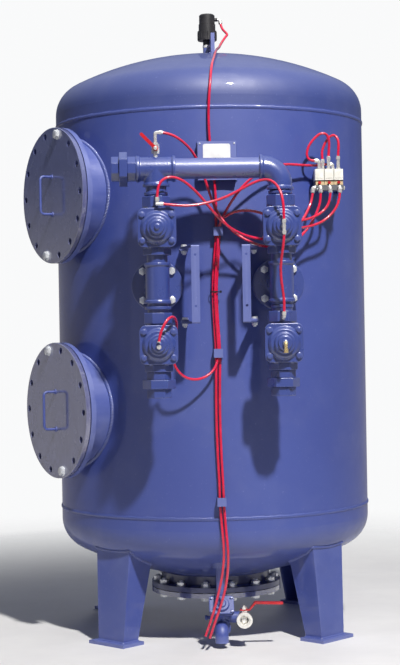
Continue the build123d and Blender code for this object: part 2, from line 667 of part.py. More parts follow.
with BuildPart() as valve_bonnets:
    with Locations(*VALVE_PLACES):
        add(bonnet_casting.part)
    add(drain_plate(DRAIN_BODY_FACE + GASKET, DRAIN_BONNET_FACE, 15))
    add(turned(drain_face, (DRAIN_BONNET_FACE - 1, DRAIN_BONNET_FACE + 8, 22),
               (DRAIN_BONNET_FACE + 7, DRAIN_BONNET_FACE + 13, 12)))
    add(turned(drain_face, (DRAIN_BODY_FACE, DRAIN_BONNET_FACE + 2, 15),
               (DRAIN_BONNET_FACE + 1, DRAIN_BONNET_FACE + 11, STEM_HOLE)), mode=Mode.SUBTRACT)
save(valve_bonnets, "valve_bonnets")

for name, x, z in VALVES:
    plunger_plane = front_plane(x, z - BONNET_DROP).offset(-MANIFOLD_Y)
    with BuildPart() as valve_plunger:
        add(turned(plunger_plane, (BONNET_BACK + 2, 56, PLUNGER_RADIUS), (56, 87, STEM_RADIUS)))
    save(valve_plunger, f"{name}_valve_plunger")

with BuildPart() as drain_valve_plunger:
    add(turned(drain_face, (DRAIN_BODY_FACE + 3, DRAIN_BONNET_FACE, 14),
               (DRAIN_BONNET_FACE, DRAIN_BONNET_FACE + 10, STEM_RADIUS)))
save(drain_valve_plunger, "drain_valve_plunger")

bonnet_fasteners = [hex_bolts(front_plane(x, z - BONNET_DROP).offset(-MANIFOLD_Y), BONNET_SPOTS, BONNET_BOLT,
                              BONNET_FACE, BODY_FACE - 10, 3) for _, x, z in VALVES]
bonnet_fasteners.append(hex_bolts(drain_face, DRAIN_BONNET_SPOTS, 6, DRAIN_BONNET_FACE, DRAIN_BODY_FACE - 8, 2))

with BuildPart() as bonnet_bolts:
    add(bonnet_fasteners)
save(bonnet_bolts, "bonnet_bolts")

# ---- Gaskets of every bolted joint --------------------------------------------------------------------
gaskets = [ring(manhole_plane(z), RING_FACE, COVER_BACK, BOLT_CIRCLE - 12, NECK_BORE, [], 1)
           for z in (UPPER_MANHOLE_Z, LOWER_MANHOLE_Z)]
gaskets.append(ring(Plane.XY, BOTTOM_COVER_TOP, BOTTOM_RING_FACE, BOLT_CIRCLE - 12, NECK_BORE, [], 1))
gaskets += [ring(front_plane(x, NOZZLE_Z), NOZZLE_FRONT, NOZZLE_FRONT + GASKET, 50, PIPE_BORE, [], 1)
            for x in (LEFT_X, RIGHT_X)]
gaskets.append(drain_plate(DRAIN_BODY_FACE, DRAIN_BODY_FACE + GASKET, 15))
valve_gasket = square_plate(BODY_FACE, BONNET_BACK, CAVITY_RADIUS)

with BuildPart() as flange_gaskets:
    for gasket in gaskets:
        add(gasket)
    with Locations(*VALVE_PLACES):
        add(valve_gasket)
save(flange_gaskets, "flange_gaskets")

# ---- Instrument panel brackets: a front bar with slanted arms back to lugs on the shell -----------------
ARM_BACK = 512
HALF_BAR = PANEL_BAR_WIDTH / 2


def panel_bracket(side):
    """One bent strap: the bar, its two arms and its two panel holes."""
    bar_x = side * PANEL_BAR_X
    bar_back = PANEL_STRAP - PANEL_BAR_FRONT
    with BuildPart() as bracket:
        add(block((bar_x - HALF_BAR, bar_x + HALF_BAR), (-PANEL_BAR_FRONT, bar_back), (PANEL_BOTTOM, PANEL_TOP)))
        for low in (PANEL_BOTTOM, PANEL_TOP - PANEL_STRAP):
            with BuildSketch(Plane.XY.offset(low)):
                with BuildLine():
                    Polyline((bar_x - HALF_BAR, bar_back), (bar_x + HALF_BAR, bar_back),
                             (side * LUG_X + HALF_BAR, -ARM_BACK), (side * LUG_X - HALF_BAR, -ARM_BACK), close=True)
                make_face()
                with Locations((side * LUG_X, LUG_Y)):
                    Circle(LUG_BOLT / 2 + 0.3, mode=Mode.SUBTRACT)
            extrude(amount=PANEL_STRAP)
        for z in PANEL_HOLE_Z:
            add(turned(front_plane(bar_x, z), (600, 650, PANEL_HOLE_R)), mode=Mode.SUBTRACT)
        fillet(bracket.edges().filter_by(Axis.X).group_by(Axis.Y)[0], radius=4)
    return bracket.part


left_panel_bracket = panel_bracket(-1)
right_panel_bracket = panel_bracket(1)
with BuildPart() as panel_brackets:
    add(left_panel_bracket)
    add(right_panel_bracket)
save(panel_brackets, "panel_brackets")

# ---- Small brackets welded on the vessel -----------------------------------------------------------------
PLATE_X = (-58, 57)
PLATE_Z = (1405, 1520)
PLATE_FRONT = 525
SHEET = 3
SOLENOID_PLATE_X = (299, 381)
SOLENOID_PLATE_Z = (1374, 1442)
LIFT_PLATE_X = (6, 18)
LIFT_Y = (-125, -35)
LIFT_TOP = 1916
INSIDE = -300

welded = []
for side in (-1, 1):
    for z in (PANEL_TOP - 2 * PANEL_STRAP, PANEL_BOTTOM + PANEL_STRAP):
        lug_x = side * LUG_X
        lug = block((lug_x - HALF_BAR, lug_x + HALF_BAR), (LUG_Y - HALF_BAR, INSIDE), (z, z + PANEL_STRAP))
        lug_hole = turned(column_plane(lug_x, LUG_Y), (z - 1, z + PANEL_STRAP + 1, LUG_BOLT / 2 + 0.3))
        welded.append(lug - lug_hole)
welded.append(block(PLATE_X, (-PLATE_FRONT, SHEET - PLATE_FRONT), PLATE_Z))
for x in (PLATE_X[0], PLATE_X[1] - SHEET):
    welded.append(block((x, x + SHEET), (SHEET - PLATE_FRONT, INSIDE), PLATE_Z))
welded.append(block(SOLENOID_PLATE_X, (-SOLENOID_BACK, SHEET + 1 - SOLENOID_BACK), SOLENOID_PLATE_Z))
for x in (SOLENOID_PLATE_X[0], SOLENOID_PLATE_X[1] - SHEET):
    welded.append(block((x, x + SHEET), (SHEET - SOLENOID_BACK, INSIDE + 50), SOLENOID_PLATE_Z))
for x, z in GUIDES:
    outer = block((x - GUIDE_WIDTH / 2, x + GUIDE_WIDTH / 2), (-GUIDE_FRONT, INSIDE), (z - 13, z + 13))
    inner = block((x - GUIDE_WIDTH / 2 + 2, x + GUIDE_WIDTH / 2 - 2), (2 - GUIDE_FRONT, INSIDE), (z - 14, z + 14))
    welded.append(outer - inner)
lift_plate = block(LIFT_PLATE_X, LIFT_Y, (SHELL_TOP, LIFT_TOP))
lift_eye = Plane(origin=(0, -80, LIFT_TOP - 30), z_dir=(1, 0, 0))

with BuildPart() as shell_brackets:
    add(welded)
    add(shell_solid, mode=Mode.SUBTRACT)
    add(lift_plate)
    add(turned(lift_eye, (0, 30, 14)), mode=Mode.SUBTRACT)
    add(top_head_solid, mode=Mode.SUBTRACT)
save(shell_brackets, "shell_brackets")

with BuildPart() as nameplate:
    with BuildSketch(front_plane(-1.5, 1472).offset(PLATE_FRONT)):
        RectangleRounded(81, 80, 6)
    extrude(amount=1)
save(nameplate, "nameplate")

# ---- Tap valve on the header: a quarter-turn valve that feeds the control line ---------------------------
TAP_Z = 1486
TAP_BODY = (1472, 1500)
TAP_FLATS = 20
TAP_SPIGOT_R = 6.5
TAP_BORE_R = 3.5
TAP_BALL_R = 6
TAP_STEM_R = 3
TAP_STEM_REACH = 20
TAP_NECK = 12
TAP_LEVER_AT = 13
TAP_LEVER_THICK = 4
TAP_LEVER_HUB_R = 8
TAP_LEVER_LENGTH = 66
TAP_LEVER_WIDTH = 9.5
TAP_LEVER_MIDDLE = Location((-20, 20.5, 0), (0, 0, -45.7))
SLIDE_GAP = 0.05
tap_front = front_plane(LEFT_X, TAP_Z).offset(-MANIFOLD_Y)
header_core = turned(header_plane(), (TEE_LEFT, TEE_RIGHT, FITTING_RADIUS))
tap_ball = Sphere(TAP_BALL_R, mode=Mode.PRIVATE).moved(Location((LEFT_X, MANIFOLD_Y, TAP_Z)))
tap_space = Sphere(TAP_BALL_R + 0.2, mode=Mode.PRIVATE).moved(Location((LEFT_X, MANIFOLD_Y, TAP_Z)))

with BuildPart() as tap_valve_body:
    add(turned(left_column, (HEADER_Z, TAP_BODY[0], TAP_SPIGOT_R)))
    add(header_core, mode=Mode.SUBTRACT)
    add(hexagon(left_column, TAP_BODY[0], TAP_BODY[1], TAP_FLATS))
    add(turned(tap_front, (0, TAP_NECK, 2 * TAP_STEM_R)))
    add(turned(left_column, (HEADER_Z, TAP_BODY[1], TAP_BORE_R)), mode=Mode.SUBTRACT)
    add(tap_space, mode=Mode.SUBTRACT)
    add(turned(tap_front, (0, TAP_NECK, TAP_STEM_R + SLIDE_GAP)), mode=Mode.SUBTRACT)
save(tap_valve_body, "tap_valve_body")

with BuildPart() as tap_valve_lever:
    add(tap_ball)
    add(turned(left_column, (TAP_Z - 10, TAP_Z + 10, TAP_BORE_R)), mode=Mode.SUBTRACT)
    add(turned(tap_front, (4, TAP_STEM_REACH, TAP_STEM_R),
               (TAP_LEVER_AT, TAP_LEVER_AT + TAP_LEVER_THICK, TAP_LEVER_HUB_R)))
    with BuildSketch(tap_front.offset(TAP_LEVER_AT)):
        with Locations(TAP_LEVER_MIDDLE):
            SlotOverall(TAP_LEVER_LENGTH, TAP_LEVER_WIDTH)
    extrude(amount=TAP_LEVER_THICK)
save(tap_valve_lever, "tap_valve_lever")

# ---- Solenoid block -----------------------------------------------------------------------------------------
BASE_Z = (1375, 1391)
STRIP_Z = (1391, 1405)
COIL_Z = (1405, 1438)
COIL_WIDTH = 27.5
COIL_CORNER = 2
BASE_X = (296, 382)
STRIP_INSET = 2
KNOB_Z = 1398
KNOB_RADIUS = 4.5
KNOB_SHAFT_R = 3
KNOB_SHAFT_DEPTH = 12
KNOB_SLOT_HALF = 0.75

with BuildPart() as solenoid_base:
    add(block(BASE_X, (-SOLENOID_FRONT, -SOLENOID_BACK), BASE_Z))
    add(block((BASE_X[0] + STRIP_INSET, BASE_X[1] - STRIP_INSET),
              (STRIP_INSET - SOLENOID_FRONT, -SOLENOID_BACK), STRIP_Z))
    for x in SOLENOID_X:
        add(turned(front_plane(x, KNOB_Z), (SOLENOID_FRONT - KNOB_SHAFT_DEPTH, SOLENOID_FRONT,
                                            KNOB_SHAFT_R + SLIDE_GAP)), mode=Mode.SUBTRACT)
save(solenoid_base, "solenoid_base")

coils = []
for x in SOLENOID_X:
    with BuildPart() as coil:
        with BuildSketch(column_plane(x, -(SOLENOID_FRONT + SOLENOID_BACK) / 2).offset(COIL_Z[0])):
            RectangleRounded(COIL_WIDTH, SOLENOID_FRONT - SOLENOID_BACK, COIL_CORNER)
        extrude(amount=COIL_Z[1] - COIL_Z[0])
    coils.append(coil.part)

with BuildPart() as solenoid_coils:
    add(coils)
save(solenoid_coils, "solenoid_coils")

for name, x in zip(("left", "middle", "right"), SOLENOID_X):
    knob_plane = front_plane(x, KNOB_Z)
    with BuildPart() as override_knob:
        add(turned(knob_plane, (SOLENOID_FRONT - KNOB_SHAFT_DEPTH + 1, SOLENOID_FRONT, KNOB_SHAFT_R),
                   (SOLENOID_FRONT - 1.5, SOLENOID_FRONT + 4, KNOB_RADIUS)))
        add(block((x - KNOB_SLOT_HALF, x + KNOB_SLOT_HALF), (-SOLENOID_FRONT - 5, -SOLENOID_FRONT - 2.5),
                  (KNOB_Z - 6, KNOB_Z + 6)), mode=Mode.SUBTRACT)
    save(override_knob, f"{name}_override_knob")

# ---- Tube fittings: push-in connectors, each with a threaded foot and a collar --------------------------------
COLLAR = 6.5
COLLAR_LENGTH = 9
STUB = 5
MOUTH_RADIUS = 4.7
MOUTH_DEPTH = 1.2
FITTING_BEND = 5.2


def connector(*points):
    """A bent or straight push-in connector that ends in a collar, from its foot to its mouth."""
    mouth = Vector(points[-1])
    way = (mouth - Vector(points[-2])).normalized()
    collar_plane = Plane(origin=mouth, z_dir=way)
    with BuildPart() as piece:
        if len(points) > 2:
            add(pipe_run(points, FITTING_BEND, STUB))
        else:
            add(turned(Plane(origin=points[0], z_dir=way), (0, (mouth - Vector(points[0])).length, STUB)))
        add(turned(collar_plane, (-COLLAR_LENGTH, 0, COLLAR)))
        add(turned(collar_plane, (-MOUTH_DEPTH, 0, MOUTH_RADIUS)), mode=Mode.SUBTRACT)
    return piece.part


UPPER_PORT = (LEFT_X + 2, 1325)
LOWER_PORT = (RIGHT_X, 1000)
UPPER_BOSS_Z = UPPER_VALVE_Z - BONNET_DROP
LOWER_BOSS_Z = LOWER_VALVE_Z - BONNET_DROP
PORT_Y = MANIFOLD_Y - COLLAR_FLATS / 2
PORT_OUT = PORT_Y - 20
BOSS_Y = MANIFOLD_Y - 92
BOSS_OUT = BOSS_Y - 9
JUMPER_Y = -462
HOOK_Y = -478
INLET_Z = 1383
OUTLET_MOUTH_Z = 1368
COIL_TOP = COIL_Z[1]
ELBOW_TAP_Z = 1533
VENT_Z = 1981
TEE_FITTING_Z = UPPER_BOSS_Z - 4
fittings = [
    connector((LEFT_X, MANIFOLD_Y, TAP_BODY[1]), (LEFT_X, MANIFOLD_Y, ELBOW_TAP_Z),
              (LEFT_X + 20, MANIFOLD_Y, ELBOW_TAP_Z)),
    connector((UPPER_PORT[0], PORT_Y, UPPER_PORT[1]), (UPPER_PORT[0], PORT_OUT, UPPER_PORT[1]),
              (UPPER_PORT[0], PORT_OUT, UPPER_PORT[1] + 15)),
    connector((UPPER_PORT[0] - 4, PORT_OUT, UPPER_PORT[1] - 3), (UPPER_PORT[0] + 16, PORT_OUT, UPPER_PORT[1] - 3)),
    turned(Plane(origin=(RIGHT_X, BOSS_Y, TEE_FITTING_Z), z_dir=(0, -1, 0)), (0, BOSS_Y - BOSS_OUT, STUB - 0.4)),
    connector((RIGHT_X, BOSS_OUT, TEE_FITTING_Z), (RIGHT_X, BOSS_OUT, TEE_FITTING_Z + 18)),
    connector((RIGHT_X, BOSS_OUT, TEE_FITTING_Z), (RIGHT_X, BOSS_OUT, TEE_FITTING_Z - 22)),
    connector((RIGHT_X, PORT_Y, LOWER_PORT[1] - 6), (RIGHT_X, PORT_OUT, LOWER_PORT[1] - 6),
              (RIGHT_X, PORT_OUT, LOWER_PORT[1] + 9)),
    connector((LEFT_X, BOSS_Y, LOWER_BOSS_Z - 6), (LEFT_X, BOSS_OUT, LOWER_BOSS_Z - 6),
              (LEFT_X, BOSS_OUT, LOWER_BOSS_Z + 8)),
    connector((RIGHT_X, BOSS_Y, LOWER_BOSS_Z), (RIGHT_X, BOSS_OUT, LOWER_BOSS_Z),
              (RIGHT_X, BOSS_OUT, LOWER_BOSS_Z - 28)),
    connector((RIGHT_X + 33, MANIFOLD_Y + 33, 1258), (RIGHT_X + 47, MANIFOLD_Y + 47, 1258)),
    connector((309, JUMPER_Y, COIL_TOP), (309, JUMPER_Y, COIL_TOP + 27), (297, JUMPER_Y, COIL_TOP + 27)),
    connector((338, JUMPER_Y, COIL_TOP), (338, JUMPER_Y, COIL_TOP + 38)),
    connector((367, JUMPER_Y, COIL_TOP), (367, JUMPER_Y, COIL_TOP + 38)),
    connector((353, -442, COIL_TOP), (353, -442, COIL_TOP + 18), (341, -442, COIL_TOP + 18)),
    connector((321, -452, COIL_TOP), (321, -452, COIL_TOP + 30)),
    connector((BASE_X[0], HOOK_Y, INLET_Z), (287, HOOK_Y, INLET_Z), (287, HOOK_Y, OUTLET_MOUTH_Z)),
    connector((34.5, 0, VENT_Z), (42, 0, VENT_Z), (44.5, -3.4, VENT_Z - 13)),
]
for x in SOLENOID_X:
    fittings.append(connector((x + 2, -SOLENOID_FRONT, INLET_Z), (x + 2, HOOK_Y, INLET_Z),
                              (x + 2, HOOK_Y, OUTLET_MOUTH_Z)))

with BuildPart() as tube_fittings:
    add(fittings)
save(tube_fittings, "tube_fittings")

# ---- Drain set: pipe from the head, small hydraulic valve, outlet elbow, branch and ball valve --------------
drain_column = column_plane(DRAIN_X, DRAIN_Y)
OUTLET_RADIUS = 20.5
OUTLET_BORE = 17
OUTLET_Y = -433
OUTLET_BOTTOM = 17
BRANCH_RADIUS = 17
BARREL_TOP = 144
drain_barrel = turned(drain_column, (OUTLET_Z - 22, BARREL_TOP, 22))
outlet_route = [(DRAIN_X, DRAIN_Y - 22, OUTLET_Z), (DRAIN_X, OUTLET_Y, OUTLET_Z), (DRAIN_X, OUTLET_Y, OUTLET_BOTTOM)]
outlet_outside = pipe_run(outlet_route, 20.6, OUTLET_RADIUS)
outlet_inside = pipe_run(outlet_route, 20.6, OUTLET_BORE)

with BuildPart() as drain_piping:
    add(turned(drain_column, (BARREL_TOP, SHELL_BOTTOM, DRAIN_PIPE_R), (238, SHELL_BOTTOM, 24)))
    add(bottom_head_solid, mode=Mode.SUBTRACT)
    add(turned(drain_column, (BARREL_TOP, SHELL_BOTTOM, DRAIN_PIPE_R - 3)), mode=Mode.SUBTRACT)
    add(outlet_outside)
    add(outlet_inside, mode=Mode.SUBTRACT)
save(drain_piping, "drain_piping")

branch_plane = Plane(origin=(0, DRAIN_Y, BRANCH_Z), x_dir=(0, 1, 0), z_dir=(1, 0, 0))
branch_corner = (BALL_X, DRAIN_Y, BRANCH_Z)
branch_end = (BALL_X, DRAIN_Y - 20, BRANCH_Z)
branch_bend = pipe_run([(DRAIN_X + 20, DRAIN_Y, BRANCH_Z), branch_corner, branch_end], 18, BRANCH_RADIUS)
branch_flow = pipe_run([(DRAIN_X, DRAIN_Y, BRANCH_Z), branch_corner, branch_end], 18, 12)
with BuildPart() as drain_valve_body:
    add(drain_barrel)
    with Locations((DRAIN_X, DRAIN_Y, DRAIN_Z - 8)):
        Sphere(26)
    add(turned(drain_face, (0, DRAIN_BODY_FACE, 24)))
    add(drain_plate(DRAIN_BODY_FACE - 8, DRAIN_BODY_FACE, 5))
    add(turned(front_plane(DRAIN_X, OUTLET_Z), (-DRAIN_Y, 22 - DRAIN_Y, 24), (16 - DRAIN_Y, 22 - DRAIN_Y, 29)))
    add(turned(branch_plane, (DRAIN_X - 44, DRAIN_X - 25, 5.5), (DRAIN_X - 49, DRAIN_X - 42, 7.5)))
    add(branch_bend)
    add(turned(drain_column, (OUTLET_Z, BARREL_TOP, DRAIN_PIPE_R - 3)), mode=Mode.SUBTRACT)
    add(turned(drain_face, (4, DRAIN_BODY_FACE, 15)), mode=Mode.SUBTRACT)
    add(turned(front_plane(DRAIN_X, OUTLET_Z), (-DRAIN_Y, 22 - DRAIN_Y, OUTLET_BORE)), mode=Mode.SUBTRACT)
    add(branch_flow, mode=Mode.SUBTRACT)
save(drain_valve_body, "drain_valve_body")

ball_plane = front_plane(BALL_X, BRANCH_Z)
BALL_BACK = 20 - DRAIN_Y
BALL_LENGTH = 46
MOUTH_LENGTH = 8
TAP_MOUTH = 16.7
BALL_RADIUS = 15
BALL_BORE = 12
SEAT_BORE = 12.5
STEM_R = 5
ball_centre = (BALL_X, BALL_Y, BRANCH_Z)
ball_shape = Sphere(BALL_RADIUS, mode=Mode.PRIVATE).moved(Location(ball_centre))
ball_space = Sphere(BALL_RADIUS + BALL_TRAVEL_GAP, mode=Mode.PRIVATE).moved(Location(ball_centre))
stem_plane = column_plane(BALL_X, BALL_Y)

with BuildPart() as drain_ball_valve_body:
    add(hexagon(ball_plane, BALL_BACK, BALL_BACK + 12, 40))
    add(turned(ball_plane, (BALL_BACK + 10, BALL_BACK + 36, 22), (BALL_BACK + 34, BALL_BACK + BALL_LENGTH, 24)))
    add(turned(stem_plane, (BRANCH_Z, BRANCH_Z + 26, 9)))
    add(turned(ball_plane, (BALL_BACK, BALL_BACK + BALL_LENGTH, SEAT_BORE)), mode=Mode.SUBTRACT)
    add(turned(ball_plane, (BALL_BACK + BALL_LENGTH - MOUTH_LENGTH, BALL_BACK + BALL_LENGTH, TAP_MOUTH)),
        mode=Mode.SUBTRACT)
    add(ball_space, mode=Mode.SUBTRACT)
    add(turned(stem_plane, (BRANCH_Z, BRANCH_Z + 30, STEM_R + 0.05)), mode=Mode.SUBTRACT)
save(drain_ball_valve_body, "drain_ball_valve_body")

LEVER_Z = 113
LEVER_HALF = 8
GRIP_RISE = 22
with BuildPart() as drain_ball_valve_lever:
    add(ball_shape)
    add(turned(Plane(origin=ball_centre, z_dir=(1, 0, 0)), (-20, 20, BALL_BORE)), mode=Mode.SUBTRACT)
    add(turned(stem_plane, (BRANCH_Z + BALL_BORE, LEVER_Z + 12, STEM_R), (LEVER_Z + 3, LEVER_Z + 9, 8)))
    with BuildSketch(front_plane(0, 0).offset(-ball_centre[1] - LEVER_HALF)):
        with BuildLine():
            Polyline((BALL_X - 12, LEVER_Z), (BALL_X + 17, LEVER_Z), (BALL_X + 35, LEVER_Z + GRIP_RISE - 3),
                     (BALL_X + 119, LEVER_Z + GRIP_RISE - 6), (BALL_X + 119, LEVER_Z + GRIP_RISE + 1),
                     (BALL_X + 33, LEVER_Z + GRIP_RISE + 4), (BALL_X + 15, LEVER_Z + 3), (BALL_X - 12, LEVER_Z + 3),
                     close=True)
        make_face()
    extrude(amount=2 * LEVER_HALF)
    fillet(drain_ball_valve_lever.edges().filter_by(Axis.Z).group_by(Axis.X)[-1], radius=5)
save(drain_ball_valve_lever, "drain_ball_valve_lever")

# ---- Air valve on the apex ------------------------------------------------------------------------------------
FLOAT_RADIUS = 15
FLOAT_Z = 1927
CHAMBER = (1914, 1962, 21)
AIR_RISER_R = 12.5
AIR_BORE_R = 8
AIR_STEPS = ((AIR_BASE, 1912, 14), (1912, 1943, 31), (1943, 1965, 27.5), (1965, AIR_TOP, 25.5))
AIR_TOP_CHAMFER = 4
VENT_RADIUS = 6
VENT_BORE_R = 3
VENT_REACH = 34.5

vent_plane = Plane(origin=(0, 0, VENT_Z), z_dir=(1, 0, 0))

with BuildPart() as air_valve_body:
    add(turned(Plane.XY, (HEAD_TOP_Z - 3, AIR_BASE, AIR_RISER_R)))
    add(top_head_solid, mode=Mode.SUBTRACT)
    add(turned(Plane.XY, *AIR_STEPS))
    chamfer(air_valve_body.edges().group_by(Axis.Z)[-1], length=AIR_TOP_CHAMFER)
    add(turned(vent_plane, (20, VENT_REACH, VENT_RADIUS)))
    add(turned(Plane.XY, (HEAD_TOP_Z - 3, CHAMBER[0], AIR_BORE_R)), mode=Mode.SUBTRACT)
    add(turned(Plane.XY, CHAMBER, (CHAMBER[1] - 2, AIR_TOP - 8, AIR_BORE_R)), mode=Mode.SUBTRACT)
    add(turned(vent_plane, (0, VENT_REACH, VENT_BORE_R)), mode=Mode.SUBTRACT)
save(air_valve_body, "air_valve_body")

with BuildPart() as air_valve_float:
    with Locations((0, 0, FLOAT_Z)):
        Sphere(FLOAT_RADIUS)
save(air_valve_float, "air_valve_float")

# ---- Inside the vessel: nozzle plate with strainers, inlet riser and outlet pipe -------------------------------
PLATE_LOW = 462
PLATE_THICK = 12
STRAINER_PITCH = 130
STRAINER_HEAD = 20
STRAINER_STEM = 8
inner_shell = turned(Plane.XY, (0, AIR_TOP, VESSEL_RADIUS - WALL))
RISER_Y = -370
RISER_TOP = 1560
OUTLET_LOW = 425
strainer_spots = [(column * STRAINER_PITCH * cos(pi / 6), (row + (column % 2) / 2) * STRAINER_PITCH)
                  for column in range(-3, 4) for row in range(-4, 4)]
strainer_spots = [(x, y) for x, y in strainer_spots if sqrt(x * x + y * y) < 430
                  and sqrt((x - RIGHT_X) ** 2 + (y - RISER_Y) ** 2) > 75]

with BuildPart() as nozzle_plate:
    with BuildSketch(Plane.XY.offset(PLATE_LOW)):
        Circle(VESSEL_RADIUS - WALL - 0.2)
        with Locations(*strainer_spots):
            Circle(STRAINER_STEM + 0.2, mode=Mode.SUBTRACT)
        with Locations((RIGHT_X, RISER_Y)):
            Circle(PIPE_RADIUS + 0.3, mode=Mode.SUBTRACT)
    extrude(amount=PLATE_THICK)
save(nozzle_plate, "nozzle_plate")

with BuildPart() as strainer_nozzles:
    with BuildSketch(Plane.XY.offset(PLATE_LOW + PLATE_THICK)):
        with Locations(*strainer_spots):
            Circle(STRAINER_HEAD)
    extrude(amount=28)
    with BuildSketch(Plane.XY.offset(PLATE_LOW - 45)):
        with Locations(*strainer_spots):
            Circle(STRAINER_STEM)
    extrude(amount=45 + PLATE_THICK)
save(strainer_nozzles, "strainer_nozzles")

riser_route = [(LEFT_X, -480, NOZZLE_Z), (LEFT_X, RISER_Y, NOZZLE_Z), (LEFT_X, RISER_Y, RISER_TOP)]
outlet_down = [(RIGHT_X, -480, NOZZLE_Z), (RIGHT_X, RISER_Y, NOZZLE_Z), (RIGHT_X, RISER_Y, OUTLET_LOW)]
inner_pipes = [pipe_run(riser_route, 60, PIPE_RADIUS), pipe_run(outlet_down, 60, PIPE_RADIUS)]
inner_flows = [pipe_run(riser_route, 60, PIPE_BORE), pipe_run(outlet_down, 60, PIPE_BORE)]
inside_trim = turned(Plane.XY, (0, AIR_TOP, VESSEL_RADIUS - WALL - 0.3))

with BuildPart() as internal_pipes:
    add(inner_pipes)
    add(inner_flows, mode=Mode.SUBTRACT)
    add(turned(column_plane(LEFT_X, RISER_Y), (RISER_TOP + 25, RISER_TOP + 33, 95)))
    for turn in (0, 120, 240):
        with Locations((LEFT_X + 28 * cos(radians(turn)), RISER_Y + 28 * sin(radians(turn)), RISER_TOP + 10)):
            Cylinder(3, 40)
    add(inside_trim, mode=Mode.INTERSECT)
save(internal_pipes, "internal_pipes")

